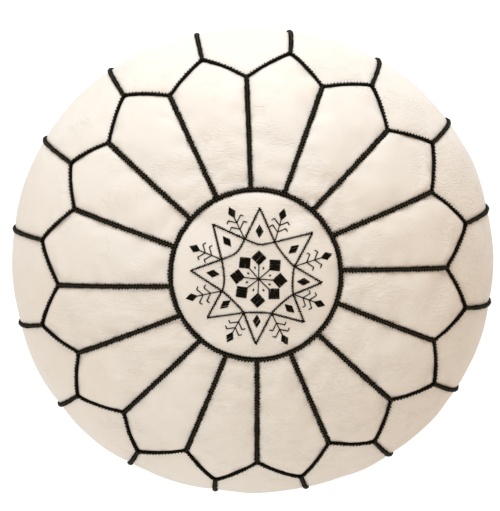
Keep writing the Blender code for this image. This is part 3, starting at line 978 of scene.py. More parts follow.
def leather_panel(name, points, finish, seed):
    mesh = quad_mesh(name, points.reshape(-1, 3), grid_quads(*points.shape[:2]))
    panel = link(f"{name}_leather", mesh)
    mesh.materials.append(bpy.data.materials.get(finish) or FINISHES[finish](finish))
    subdivide(panel)
    shape_leather(panel, refined(edge_run(points), 4), seed)
    thicken(panel, bpy.context.scene.pouf_form.leather)
    ready(panel, "pouf", "leather", finish, name)
    return panel


class POUF_OT_cut_petals(bpy.types.Operator):
    """Makes the 16 petal panels of the top"""

    bl_idname = "pouf.cut_petals"
    bl_label = "Petals"

    def execute(self, context):
        for i in range(PANELS):
            name = f"petal_{i + 1:02d}"
            leather_panel(name, stuffed_points(name), "cream leather", seed=100 + i)
        return {"FINISHED"}


class POUF_OT_cut_sides(bpy.types.Operator):
    """Makes the 16 side panels, from the petals' tips to the base seam"""

    bl_idname = "pouf.cut_sides"
    bl_label = "Side panels"

    def execute(self, context):
        for i in range(PANELS):
            name = f"side_panel_{i + 1:02d}"
            leather_panel(name, stuffed_points(name), "cream leather", seed=200 + i)
        return {"FINISHED"}


class POUF_OT_cut_medallion(bpy.types.Operator):
    """Makes the round medallion in the middle of the top"""

    bl_idname = "pouf.cut_medallion"
    bl_label = "Medallion"

    def execute(self, context):
        leather_panel("medallion", stuffed_points("medallion"), "medallion leather", seed=300)
        return {"FINISHED"}


class POUF_OT_cut_base(bpy.types.Operator):
    """Makes the two halves of the base, with the trough and the opening for the zip"""

    bl_idname = "pouf.cut_base"
    bl_label = "Base panels"

    def execute(self, context):
        for name, side in (("base_panel_front", -1), ("base_panel_back", 1)):
            points = base_form(side)
            panel = link(f"{name}_leather", quad_mesh(name, points.reshape(-1, 3), grid_quads(*points.shape[:2])))
            mesh = panel.data
            lift = waves(points, 0.05, 400 + side) * 0.0005 * np.minimum(1, np.abs(points[..., 1]) / 0.03)
            points[..., 2] += np.maximum(0, lift)
            mesh.vertices.foreach_set("co", points.astype(np.float32).ravel())
            edges = coordinates(mesh)
            # The distance from the zip's opening, which sets where painted shade darkens the base leather's colour.
            distance = np.abs(np.abs(edges[:, 1]) - zip_opening(edges[:, 0]))
            stored = mesh.attributes.new("seam_distance", "FLOAT", "POINT")
            stored.data.foreach_set("value", distance.astype(np.float32))
            thicken(panel, context.scene.pouf_form.leather)
            ready(panel, "pouf", "leather", "base leather", name)
        return {"FINISHED"}


# ---------------------------------------------------------------- stuffing


class POUF_OT_fill(bpy.types.Operator):
    """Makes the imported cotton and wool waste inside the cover"""

    bl_idname = "pouf.fill"
    bl_label = "Stuffing"

    def execute(self, context):
        rings, segments = STUFFING_GRID
        phi = np.linspace(0, math.pi, rings + 1)[1:-1]
        angle = np.linspace(0, 2 * math.pi, segments, endpoint=False)
        angles, phis = np.meshgrid(angle, phi)
        points = body(angles, phis, STUFFING_INSET)
        lumps = np.maximum(-1, np.minimum(0.4, waves(points, 0.045, 500))) * STUFFING_LUMP
        points += body_normal(angles, phis) * lumps[..., None]
        points = np.concatenate([points.reshape(-1, 3), body(np.zeros(2), np.array([0, math.pi]), STUFFING_INSET)])
        hollow = zip_trough(points, STUFFING_TROUGH_TOP, STUFFING_TROUGH_SPREAD)
        points[:, 2] = np.maximum(points[:, 2], np.maximum(STUFFING_FLOOR, hollow))
        ring_count = len(phi)
        first = (np.arange(ring_count - 1)[:, None] * segments + np.arange(segments)[None, :]).ravel()
        beside = (np.arange(ring_count - 1)[:, None] * segments + (np.arange(segments)[None, :] + 1) % segments).ravel()
        quads = np.stack([first, first + segments, beside + segments, beside], -1)
        around = np.arange(segments)
        after = (around + 1) % segments
        top = np.stack([np.full(segments, len(points) - 2), around, after], -1)
        low = (ring_count - 1) * segments
        bottom = np.stack([np.full(segments, len(points) - 1), low + after, low + around], -1)
        loops = np.concatenate([quads.ravel(), top.ravel(), bottom.ravel()])
        sizes = np.concatenate([np.full(len(quads), 4), np.full(2 * segments, 3)])
        filling = link("cotton_stuffing", mesh_of("cotton_stuffing", points, loops, sizes))
        filling.data.shade_smooth()
        ready(filling, "pouf", "stuffing", "waste cotton", "stuffing")
        return {"FINISHED"}


# ---------------------------------------------------------------- braid and embroidery


def stitch_template(fullness):
    """One stitch of thread along Z, 2 long and 2 thick: the higher its fullness, the blunter its ends."""
    bpy.ops.object.select_all(action="DESELECT")
    bpy.ops.mesh.primitive_uv_sphere_add(segments=6, ring_count=5, radius=1)
    stitch = bpy.context.active_object
    points = coordinates(stitch.data)
    height = np.clip(points[:, 2], -1, 1)
    waist = np.sqrt(np.maximum(0, 1 - height**2))
    reach = np.sign(height) * np.abs(height) ** (1 / fullness)
    swollen = np.where(waist > 1e-6, np.maximum(waist, 1e-6) ** (1 / fullness - 1), 0)
    points[:, :2] *= np.where(waist > 1e-6, swollen, 0)[:, None]
    points[:, 2] = reach
    stitch.data.vertices.foreach_set("co", points.astype(np.float32).ravel())
    return stitch


def repeated(name, template, frames, origins, seed=0):
    """The template's mesh once for every frame, a 3 by 3 matrix whose columns are its X, Y and Z."""
    random = np.random.default_rng(seed)
    points = coordinates(template.data)
    count, each = len(origins), len(points)
    placed = np.einsum("kij,vj->kvi", frames, points) + origins[:, None, :]
    corners = np.zeros(len(template.data.loops), np.int32)
    template.data.loops.foreach_get("vertex_index", corners)
    sizes = np.zeros(len(template.data.polygons), np.int32)
    template.data.polygons.foreach_get("loop_total", sizes)
    uv = np.zeros(len(corners) * 2, np.float32)
    template.data.uv_layers[0].uv.foreach_get("vector", uv)
    loops = (np.arange(count)[:, None] * each + corners[None, :]).ravel()
    mesh = mesh_of(name, placed.reshape(-1, 3), loops, np.tile(sizes, count))
    layer = mesh.uv_layers.new(name="UVMap")
    shifted = uv.reshape(1, -1, 2) + random.uniform(0, 1, (count, 1, 2))
    layer.uv.foreach_set("vector", shifted.astype(np.float32).ravel())
    made = link(name, mesh)
    mesh.shade_smooth()
    return made


def unit(vectors):
    return vectors / np.maximum(np.linalg.norm(vectors, axis=-1, keepdims=True), 1e-12)


class Route:
    """A line on the leather, cut into equal steps, with its direction and the leather's normal at each."""

    def __init__(self, points, normals, pitch, closed=False):
        if closed:
            points = np.concatenate([points, points[:1]])
            normals = np.concatenate([normals, normals[:1]])
        reach = np.concatenate([[0], np.cumsum(np.linalg.norm(np.diff(points, axis=0), axis=1))])
        count = max(1, round(reach[-1] / pitch))
        at = (np.arange(count) + 0.5) * reach[-1] / count
        self.length = reach[-1]
        self.pitch = reach[-1] / count
        self.closed = closed
        self.points = np.stack([np.interp(at, reach, points[:, k]) for k in range(3)], -1)
        self.up = unit(np.stack([np.interp(at, reach, normals[:, k]) for k in range(3)], -1))
        small = min(self.pitch, reach[-1] / 4)
        ahead = np.stack([np.interp(at + small / 2, reach, points[:, k]) for k in range(3)], -1)
        behind = np.stack([np.interp(at - small / 2, reach, points[:, k]) for k in range(3)], -1)
        along = unit(ahead - behind)
        self.along = unit(along - self.up * (along * self.up).sum(-1, keepdims=True))
        self.across = np.cross(self.up, self.along)


def turned_frames(route, turn, tilt, half_length, half_width, half_height, random):
    """Stitches turned from the route's direction in the leather's plane, and tilted down at one end."""
    count = len(route.points)
    turn = turn + np.radians(random.normal(0, 6, count))
    tilt = tilt + np.radians(random.normal(0, 3, count))
    size = random.uniform(0.89, 1.11, count)
    flat = route.along * np.cos(turn)[:, None] + route.across * np.sin(turn)[:, None]
    side = np.cross(route.up, flat)
    main = flat * np.cos(tilt)[:, None] - route.up * np.sin(tilt)[:, None]
    up = np.cross(main, side)
    scaled = [side * (half_width * size)[:, None], up * half_height, main * (half_length * size)[:, None]]
    return np.stack(scaled, -1)


def braid_on(routes, width, name, template, seed):
    """Two rows of slanted stitches over a round core, with a crown where they cross, on every route."""
    random = np.random.default_rng(seed)
    frames, origins = [], []
    for route in routes:
        for side in (-1, 1):
            half_length = width * BRAID_STITCH_LENGTH
            made = turned_frames(
                route, side * BRAID_TURN, BRAID_TILT, half_length, width * BRAID_STITCH_WIDTH, BRAID_STITCH_HEIGHT, random
            )
            frames.append(made)
            step = BRAID_STAGGER * side * route.pitch
            wobble = random.normal(0, 0.00018, (len(route.points), 1))
            place = route.points + route.across * (side * width * 0.22 + wobble)
            origins.append(place + route.up * BRAID_RISE + route.along * step)
    slanted = sum(len(row) for row in origins)
    for route in routes:
        frames.append(turned_frames(
            route, 0.0, 0.0, width * CROWN_LENGTH, width * CROWN_WIDTH, CROWN_HALF_HEIGHT, random
        ))
        origins.append(route.points + route.up * CROWN_RISE + route.along * 0.25 * route.pitch)
    rows = repeated(f"{name}_rows", template, np.concatenate(frames), np.concatenate(origins), seed)
    crown = np.arange(len(rows.data.vertices)) >= slanted * len(template.data.vertices)
    rows.data.attributes.new("crown", "FLOAT", "POINT").data.foreach_set("value", crown.astype(np.float32))
    cores = [core_of(f"{name}_core_{k}", route, width) for k, route in enumerate(routes)]
    return joined(name, [rows, *cores])


def core_of(name, route, width):
    """The braid's flat core: an oval tube along the route, closed or capped."""
    turn = np.linspace(0, 2 * math.pi, CORE_SIDES, endpoint=False)
    wide = np.cos(turn) * width * CORE_WIDTH
    high = np.sin(turn) * CORE_HALF_HEIGHT
    centre = route.points + route.up * CORE_RISE
    points = (
        centre[:, None, :]
        + route.across[:, None, :] * wide[None, :, None]
        + route.up[:, None, :] * high[None, :, None]
    )
    count = len(centre)
    rings = count if route.closed else count - 1
    first = np.arange(rings)[:, None] * CORE_SIDES
    after = ((np.arange(rings) + 1) % count)[:, None] * CORE_SIDES
    around = np.arange(CORE_SIDES)[None, :]
    beside = (around + 1) % CORE_SIDES
    quads = np.stack([first + around, first + beside, after + beside, after + around], -1).reshape(-1, 4)
    loops, sizes = [quads.ravel()], [np.full(len(quads), 4)]
    if not route.closed:
        loops += [np.arange(CORE_SIDES)[::-1], (count - 1) * CORE_SIDES + np.arange(CORE_SIDES)]
        sizes += [np.array([CORE_SIDES])] * 2
    mesh = mesh_of(name, points.reshape(-1, 3), np.concatenate(loops), np.concatenate(sizes))
    mesh.uv_layers.new(name="UVMap")
    mesh.shade_smooth()
    return link(name, mesh)


def joined(name, parts):
    bpy.ops.object.select_all(action="DESELECT")
    for part in parts:
        part.select_set(True)
    bpy.context.view_layer.objects.active = parts[0]
    if len(parts) > 1:
        bpy.ops.object.join()
    whole = bpy.context.active_object
    whole.name = name
    whole.data.name = name
    return whole


def seam_route(place, start, end, pitch, closed=False, count=400):
    """A route along the seam surface: place gives the angle and phi for a number from start to end."""
    numbers = np.linspace(start, end, count, endpoint=not closed)
    angle, phi = place(numbers)
    points = body(angle, phi)
    return Route(points, body_normal(angle, phi), pitch, closed)


def softened(plan, share=0.5, times=3):
    """A closed run of plan points with its corners rounded a little."""
    for _ in range(times):
        plan = (1 - share) * plan + share * (np.roll(plan, 1, axis=0) + np.roll(plan, -1, axis=0)) / 2
    return plan


class POUF_OT_braid_top(bpy.types.Operator):
    """Braids the ring round the medallion and the radial seams between the petals"""

    bl_idname = "pouf.braid_top"
    bl_label = "Ring and radial braids"

    def execute(self, context):
        stitching = context.scene.pouf_stitching
        template = stitch_template(BRAID_FULLNESS)
        pitch = stitching.plait
        round_ring = seam_route(lambda s: on_top(ring(s)), 0, PANELS, pitch, closed=True, count=960)
        braid = braid_on([round_ring], stitching.top_braid, "medallion_ring_braid", template, 1)
        ready(braid, "pouf", "thread", "braid thread", "ring_braid")
        for i in range(PANELS):
            reach = np.linalg.norm(scallop(i) - ring(i))
            short = RADIAL_GAP / reach
            route = seam_route(lambda a: petal_place(np.full(a.shape, float(i)), a), short, 1 - short * 0.6, pitch)
            braid = braid_on([route], stitching.top_braid, f"petal_seam_braid_{i + 1:02d}", template, 10 + i)
            ready(braid, "pouf", "thread", "braid thread", f"radial_braid_{i + 1:02d}")
        bpy.data.objects.remove(template)
        return {"FINISHED"}


class POUF_OT_braid_sides(bpy.types.Operator):
    """Braids the zigzag round the petals, the side seams that hang from their tips, and the base seam"""

    bl_idname = "pouf.braid_sides"
    bl_label = "Scallop, side and base braids"

    def execute(self, context):
        stitching = context.scene.pouf_stitching
        template = stitch_template(BRAID_FULLNESS)
        pitch = stitching.side_plait
        plan = softened(scallop(np.arange(0, PANELS, 1 / 60)))
        angle, phi = on_top(plan)
        zigzag = Route(body(angle, phi), body_normal(angle, phi), pitch, closed=True)
        braid = braid_on([zigzag], stitching.scallop_braid, "scallop_braid", template, 2)
        ready(braid, "pouf", "thread", "braid thread", "side_net_braid")
        drops = [
            seam_route(lambda a: side_place(np.full(a.shape, i + 0.5), a), SIDE_SEAM_START, 0.996, pitch)
            for i in range(PANELS)
        ]
        braid = braid_on(drops, stitching.side_braid, "side_seam_braid", template, 3)
        ready(braid, "pouf", "thread", "braid thread", "side_net_braid")
        hem = seam_route(lambda s: side_place(s, np.ones(s.shape)), 0, PANELS, pitch, closed=True, count=960)
        braid = braid_on([hem], stitching.side_braid, "base_seam_braid", template, 4)
        ready(braid, "pouf", "thread", "braid thread", "side_net_braid")
        bpy.data.objects.remove(template)
        return {"FINISHED"}


# The medallion's star, clockwise from its top arm: degrees from +X and millimetres from its centre
STAR_CENTRE = MEDALLION_CENTRE + np.array((0.0028, -0.0032))
STAR_ARMS = 8
TIP_TURN = (89, 40.5, -3.5, -44, -92.5, -142.5, 173, 130)
TIP_OUT = (71, 71, 63.5, 63.5, 66, 65, 68.5, 71)
CROSSING_TURN = (66.5, 19.5, -24, -69.5, -114, -162, 152, 109)
CROSSING_OUT = (40.5, 38, 38, 37, 37, 38.5, 42, 42.5)
ARM_DIAMOND_OUT = (48, 46, 45, 43, 42.5, 42, 46, 49)
SPRIG_TURN = (69.5, 18.5, -22.5, -67, -116, -164.5, 154.5, 112)
SPRIG_OUT = (68.5, 71.5, 66, 67, 65.5, 69.5, 70.5, 71.5)
ARC_OUT = 0.0347
SQUARE_OUT = 0.0213
SQUARE_HALF = 0.0078
RAY_OUT = 0.0146
SEED_OUT = 0.0120
SEED_SIZE = (0.0016, 0.0008)
ARM_DIAMOND = (0.0070, 0.0039)
SPRIG_DIAMOND = (0.0064, 0.0041)
BRANCH_AT = (0.46, 0.76)
BRANCH_TURN = math.radians(52)
BRANCH_LENGTH = 0.0085
HOOK_TURN = math.radians(128)
HOOK_LENGTH = 0.0032


def star_point(degrees, millimetres):
    return STAR_CENTRE + polar(np.radians(degrees), millimetres / 1000)


def straight(start, end, count=24):
    return start + (end - start) * np.linspace(0, 1, count)[:, None]


def star_band(k):
    """The band of the star whose arc lies under arm k, from one neighbouring tip to the other."""
    before, after = (k - 1) % STAR_ARMS, (k + 1) % STAR_ARMS
    tips = [star_point(TIP_TURN[n], TIP_OUT[n]) for n in (before, after)]
    ends = [star_point(CROSSING_TURN[n], CROSSING_OUT[n]) for n in (before, k)]
    ways = [unit(end - tip) for tip, end in zip(tips, ends)]
    middle = (ends[0] + ends[1]) / 2
    inward = unit(STAR_CENTRE - middle)
    depth = np.linalg.norm(STAR_CENTRE - middle) - ARC_OUT
    handle = max(0.004, depth / (0.375 * float((ways[0] + ways[1]) @ inward)))
    t = np.linspace(0, 1, 40)[:, None]
    reach = [ends[0] + ways[0] * handle, ends[1] + ways[1] * handle]
    arc = (1 - t) ** 3 * ends[0] + 3 * t * (1 - t) ** 2 * reach[0] + 3 * t * t * (1 - t) * reach[1] + t**3 * ends[1]
    return np.concatenate([straight(tips[0], ends[0])[:-1], arc, straight(ends[1], tips[1])[1:]])


def sprig_lines(k):
    """Stem, branches and hooks of the sprig that grows from crossing k."""
    root = star_point(CROSSING_TURN[k], CROSSING_OUT[k])
    head = star_point(SPRIG_TURN[k], SPRIG_OUT[k])
    way = unit(head - root)
    stem_end = head - way * SPRIG_DIAMOND[0] * 0.9
    lines = [straight(root, stem_end)]
    for share in BRANCH_AT:
        fork = root + (stem_end - root) * share
        for side in (-1, 1):
            elbow = fork + rotated(way, side * BRANCH_TURN) * BRANCH_LENGTH
            hook = elbow + rotated(way, side * HOOK_TURN) * HOOK_LENGTH
            lines.append(np.concatenate([straight(fork, elbow, 12), straight(elbow, hook, 8)[1:]]))
    return lines


def rotated(way, turn):
    return np.array((way[0] * math.cos(turn) - way[1] * math.sin(turn), way[0] * math.sin(turn) + way[1] * math.cos(turn)))


def satin_threads(centre, way, half_length, half_width, pitch):
    """Ends of the parallel threads that fill a diamond, laid along one pair of its edges."""
    aside = np.array((-way[1], way[0]))
    corner = centre + way * half_length
    left, right = centre + aside * half_width, centre - aside * half_width
    run = left - corner
    step = right - corner
    edge = np.linalg.norm(step - run * (step @ run) / (run @ run))
    count = max(3, round(edge / pitch))
    shares = (np.arange(count) + 0.5) / count
    starts = corner + step * shares[:, None]
    return np.stack([starts, starts + run], 1)


class POUF_OT_embroider(bpy.types.Operator):
    """Embroiders the medallion: the interlaced star, its diamonds and squares, the rays, seeds and sprigs"""

    bl_idname = "pouf.embroider"
    bl_label = "Embroidery"

    def execute(self, context):
        stitching = context.scene.pouf_stitching
        surface = BVHTree.FromObject(bpy.data.objects["medallion_leather"], context.evaluated_depsgraph_get())
        self.surface = surface
        self.ropes(stitching)
        self.fine_lines(stitching)
        self.fills(stitching)
        return {"FINISHED"}

    def laid(self, plan):
        """Points and normals of the stuffed medallion over these plan points."""
        hits = [self.surface.ray_cast(Vector((x, y, 1)), Vector((0, 0, -1))) for x, y in plan]
        return np.array([hit[0] for hit in hits]), np.array([hit[1] for hit in hits])

    def ropes(self, stitching):
        template = stitch_template(STITCH_FULLNESS)
        random = np.random.default_rng(31)
        frames, origins = [], []
        for k in range(STAR_ARMS):
            route = Route(*self.laid(star_band(k)), stitching.rope * ROPE_PITCH)
            half_width = stitching.rope * ROPE_HALF_WIDTH
            half_length = stitching.rope * ROPE_HALF_LENGTH
            lift = half_width * (0.65 + 0.15 * (k % 2))
            line = stitching.rope * ROPE_LINE
            frames.append(turned_frames(route, ROPE_TURN, 0.0, half_length, half_width, half_width, random))
            frames.append(turned_frames(route, 0.0, 0.0, half_length, line, half_width, random))
            origins += [route.points + route.up * lift, route.points + route.up * half_width * 0.5]
        rope = repeated("star_embroidery", template, np.concatenate(frames), np.concatenate(origins), 31)
        ready(rope, "pouf", "thread", "embroidery thread")
        bpy.data.objects.remove(template)

    def fine_lines(self, stitching):
        template = stitch_template(STITCH_FULLNESS)
        random = np.random.default_rng(32)
        lines = [line for k in range(STAR_ARMS) for line in sprig_lines(k)]
        for k in range(STAR_ARMS):
            lines.append(straight(STAR_CENTRE, STAR_CENTRE + polar(np.radians(TIP_TURN[k]), RAY_OUT)))
        frames, origins = [], []
        half = stitching.fine / 2
        for line in lines:
            route = Route(*self.laid(line), stitching.fine * 1.7)
            frames.append(turned_frames(route, math.radians(8), 0.0, stitching.fine * 1.15, half, half, random))
            origins.append(route.points + route.up * half * 0.5)
        sprigs = repeated("sprig_embroidery", template, np.concatenate(frames), np.concatenate(origins), 32)
        ready(sprigs, "pouf", "thread", "embroidery thread")
        bpy.data.objects.remove(template)

    def fills(self, stitching):
        template = stitch_template(SATIN_FULLNESS)
        random = np.random.default_rng(33)
        threads = []
        for k in range(STAR_ARMS):
            way = polar(math.radians(TIP_TURN[k]), 1.0)
            centre = star_point(TIP_TURN[k], ARM_DIAMOND_OUT[k])
            threads.append(satin_threads(centre, way, *ARM_DIAMOND, stitching.satin))
            square = STAR_CENTRE + way * SQUARE_OUT
            threads.append(satin_threads(square, way, SQUARE_HALF, SQUARE_HALF, stitching.satin))
            half_way = polar(math.radians(TIP_TURN[k] - 180 / STAR_ARMS), 1.0)
            threads.append(satin_threads(STAR_CENTRE + half_way * SEED_OUT, half_way, *SEED_SIZE, stitching.satin))
            head = star_point(SPRIG_TURN[k], SPRIG_OUT[k])
            stem = unit(head - star_point(CROSSING_TURN[k], CROSSING_OUT[k]))
            threads.append(satin_threads(head, stem, *SPRIG_DIAMOND, stitching.satin))
        ends = np.concatenate(threads)
        ends += random.normal(0, 0.00012, ends.shape)
        starts, start_up = self.laid(ends[:, 0])
        stops, stop_up = self.laid(ends[:, 1])
        half = stitching.satin * 0.62
        up = unit(start_up + stop_up)
        main = (stops - starts) / 2
        side = np.cross(up, unit(main))
        frames = np.stack([side * half, up * half * 0.8, main * 1.03], -1)
        fills = repeated("satin_embroidery", template, frames, (starts + stops) / 2 + up * half * 0.45, 33)
        ready(fills, "pouf", "thread", "embroidery thread")
        bpy.data.objects.remove(template)


# ---------------------------------------------------------------- zip


def cut_plate(name, outlines, thickness, bevel, upright=False):
    """A plate cut to outlines in its own plane, with rounded edges: upright stands its plane along X and Z."""
    curve = bpy.data.curves.new(name, "CURVE")
    curve.dimensions = "2D"
    curve.fill_mode = "BOTH"
    curve.extrude = thickness / 2 - bevel
    curve.bevel_depth = bevel
    curve.bevel_resolution = 2
    curve.offset = -bevel
    for outline_points in outlines:
        spline = curve.splines.new("POLY")
        spline.points.add(len(outline_points) - 1)
        spline.points.foreach_set("co", [v for x, y in outline_points for v in (x, y, 0, 1)])
        spline.use_cyclic_u = True
    plate = link(name, curve)
    only(plate)
    bpy.ops.object.convert(target="MESH")
    plate = bpy.context.active_object
    bpy.ops.object.mode_set(mode="EDIT")
    bpy.ops.mesh.select_all(action="SELECT")
    bpy.ops.mesh.remove_doubles(threshold=1e-6)
    bpy.ops.mesh.normals_make_consistent(inside=False)
    bpy.ops.object.mode_set(mode="OBJECT")
    if upright:
        plate.data.transform(Matrix.Rotation(math.pi / 2, 4, "X"))
    return plate


def rounded_outline(ends, half_widths, corner, steps=5):
    """A plate's outline between two ends along X, with a half width at each, and round corners."""
    low, high = ends
    points = []
    quarter = np.linspace(0, math.pi / 2, steps)
    for x, half, sx, sy in ((high, half_widths[1], 1, 1), (low, half_widths[0], -1, 1),
                            (low, half_widths[0], -1, -1), (high, half_widths[1], 1, -1)):
        turn = quarter if sx * sy > 0 else quarter[::-1]
        for t in turn:
            points.append((x - sx * corner * (1 - math.cos(t)), sy * (half - corner * (1 - math.sin(t)))))
    return points


def moved(obj, x=0.0, y=0.0, z=0.0):
    obj.data.transform(Matrix.Translation((x, y, z)))
    return obj


class POUF_OT_weave_tapes(bpy.types.Operator):
    """Makes the zip's two woven tapes, and the topstitching that holds them to the base panels"""

    bl_idname = "pouf.weave_tapes"
    bl_label = "Zip tapes"

    def execute(self, context):
        for name, node in (("zip_tape_front_woven", "zip_tape_front"), ("zip_tape_back_woven", "zip_tape_back")):
            low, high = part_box(node)
            bpy.ops.object.select_all(action="DESELECT")
            bpy.ops.mesh.primitive_grid_add(x_subdivisions=160, y_subdivisions=10, size=2)
            tape = bpy.context.active_object
            tape.name = tape.data.name = name
            points = coordinates(tape.data)
            centre, half = (low + high) / 2, (high - low) / 2
            edge = np.abs(points[:, 1])
            points[:, 0] = centre.x + points[:, 0] * half.x
            points[:, 1] = centre.y + points[:, 1] * half.y
            points[:, 2] = high.z - 0.0001 + waves(points, 0.03, 41) * 0.00008 - 0.0001 * edge**6
            tape.data.vertices.foreach_set("co", points.astype(np.float32).ravel())
            thicken(tape, (high.z - low.z) - 0.0002)
            ready(tape, "pouf", "tape", "zip tape", node)
        self.topstitch(context)
        return {"FINISHED"}

    def topstitch(self, context):
        template = stitch_template(STITCH_FULLNESS)
        pitch = context.scene.pouf_stitching.topstitch
        random = np.random.default_rng(42)
        frames, origins = [], []
        for side in (-1, 1):
            for inset in TOPSTITCH_ROWS:
                x = np.linspace(-TOPSTITCH_END, TOPSTITCH_END, 200)
                y = side * (SLIT_HALF + inset) * np.ones(x.shape)
                points = np.stack([x, y, base_height(x, y)], -1)
                down = np.tile((0.0, 0.0, -1.0), (len(x), 1))
                route = Route(points, down, pitch)
                frames.append(turned_frames(route, 0.0, 0.0, pitch * 0.40, 0.0004, 0.0004, random))
                origins.append(route.points + route.up * 0.00015)
        stitches = repeated("zip_topstitching", template, np.concatenate(frames), np.concatenate(origins), 42)
        ready(stitches, "pouf", "thread", "cream thread")
        bpy.data.objects.remove(template)


class POUF_OT_mould_teeth(bpy.types.Operator):
    """Makes the zip's two rows of teeth, set half a tooth apart, with a stop at each end"""

    bl_idname = "pouf.mould_teeth"
    bl_label = "Zip teeth"

    def execute(self, context):
        for node, side in (("zip_teeth_front", -1), ("zip_teeth_back", 1)):
            low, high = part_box(node)
            outer = max(abs(low.y), abs(high.y))
            tooth = self.tooth(outer, high.z - low.z)
            first = low.x + TEETH_START
            count = int((high.x - TEETH_STOP - first) / TOOTH_PITCH)
            at = first + (np.arange(count) + (0.25 if side > 0 else 0.75)) * TOOTH_PITCH
            origins = np.stack([at, np.zeros(count), np.full(count, (low.z + high.z) / 2)], -1)
            frame_of_side = np.diag((1.0, side, 1.0)) if side > 0 else np.diag((-1.0, -1.0, 1.0))
            row = repeated(node + "_row", tooth, np.tile(frame_of_side, (count, 1, 1)), origins, 43)
            bpy.data.objects.remove(tooth)
            row.data.shade_flat()
            stops = [self.stop(x, side, outer, (low.z + high.z) / 2) for x in (low.x + 0.0025, high.x - 0.002)]
            row = joined(node + "_moulded", [row, *stops])
            ready(row, "pouf", "teeth", "moulded teeth", node)
        return {"FINISHED"}

    def tooth(self, outer, height):
        """One tooth that points along -Y, its root at outer and its head past its neck."""
        bpy.ops.object.select_all(action="DESELECT")
        bpy.ops.mesh.primitive_cube_add(size=1)
        tooth = bpy.context.active_object
        tooth.data.transform(Matrix.Diagonal((TOOTH_WIDTH, outer - TOOTH_NECK, height, 1)))
        tooth.data.transform(Matrix.Translation((0, (outer + TOOTH_NECK) / 2, 0)))
        bpy.ops.object.mode_set(mode="EDIT")
        bpy.ops.mesh.select_all(action="DESELECT")
        bpy.ops.object.mode_set(mode="OBJECT")
        for face in tooth.data.polygons:
            face.select = face.normal.y < -0.9
        bpy.ops.object.mode_set(mode="EDIT")
        bpy.ops.mesh.select_mode(type="FACE")
        bpy.ops.transform.resize(value=(0.62, 1, 0.8))
        bpy.ops.mesh.extrude_region_move(TRANSFORM_OT_translate={"value": (0, TOOTH_TIP - TOOTH_NECK, 0)})
        bpy.ops.transform.resize(value=(1.35, 1, 0.9))
        bpy.ops.object.mode_set(mode="OBJECT")
        rounding = tooth.modifiers.new("rounding", "BEVEL")
        rounding.width = TOOTH_ROUNDING
        rounding.segments = 1
        apply_modifiers(tooth)
        return tooth

    def stop(self, x, side, outer, z):
        half = outer - TOOTH_TIP
        end = cut_plate("zip_stop", [rounded_outline((-0.0016, 0.0016), (half / 2, half / 2), 0.0005)], 0.0030, 0.0002)
        return moved(end, x, side * (TOOTH_TIP + half / 2), z)


class POUF_OT_cast_slider(bpy.types.Operator):
    """Makes the zip's brass slider: two plates, their lips, the post between the rows, and the bail"""

    bl_idname = "pouf.cast_slider"
    bl_label = "Zip slider"

    def execute(self, context):
        low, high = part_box("zip_slider")
        middle = (low.x + high.x) / 2
        ends = (low.x - middle, high.x - middle)
        half = high.y
        nose = half * 0.80
        bottom = SLIDER_BOTTOM
        plates = [
            moved(cut_plate("low_plate", [rounded_outline(ends, (nose, half), 0.0018)], 0.0013, 0.0003), z=bottom + 0.00065),
            moved(cut_plate("high_plate", [rounded_outline(ends, (nose, half), 0.0018)], 0.0013, 0.0003), z=high.z - 0.00065),
            moved(cut_plate("post", [rounded_outline((0.0005, ends[1] - 0.0008), (0.00028, 0.00028), 0.0002)], 0.0040, 0.00005),
                  z=(bottom + high.z) / 2),
        ]
        for side in (-1, 1):
            for z in (bottom + 0.0016, high.z - 0.0016):
                lip = cut_plate("lip", [rounded_outline((ends[0] + 0.0010, ends[1] - 0.0022), (0.00032, 0.00032), 0.0003)], 0.0010, 0.0001)
                lip.data.transform(Matrix.Rotation(side * math.atan2(half - nose, ends[1] - ends[0]), 4, "Z"))
                plates.append(moved(lip, y=side * (half - 0.00085), z=z))
        arch = [
            (-BAIL_HALF, bottom + 0.0006), (-BAIL_HALF, low.z + 0.0007), (-BAIL_HALF + 0.0007, low.z),
            (BAIL_HALF - 0.0007, low.z), (BAIL_HALF, low.z + 0.0007), (BAIL_HALF, bottom + 0.0006),
            (BAIL_HOLE, bottom + 0.0006), (BAIL_HOLE, low.z + 0.0007), (-BAIL_HOLE, low.z + 0.0007),
            (-BAIL_HOLE, bottom + 0.0006),
        ]
        plates.append(cut_plate("bail", [arch], 0.0016, 0.0002, upright=True))
        slider = joined("brass_slider", plates)
        moved(slider, x=middle)
        bpy.ops.object.shade_smooth_by_angle(angle=math.radians(35))
        ready(slider, "slider", "brass", "worn brass", "zip_slider")
        return {"FINISHED"}


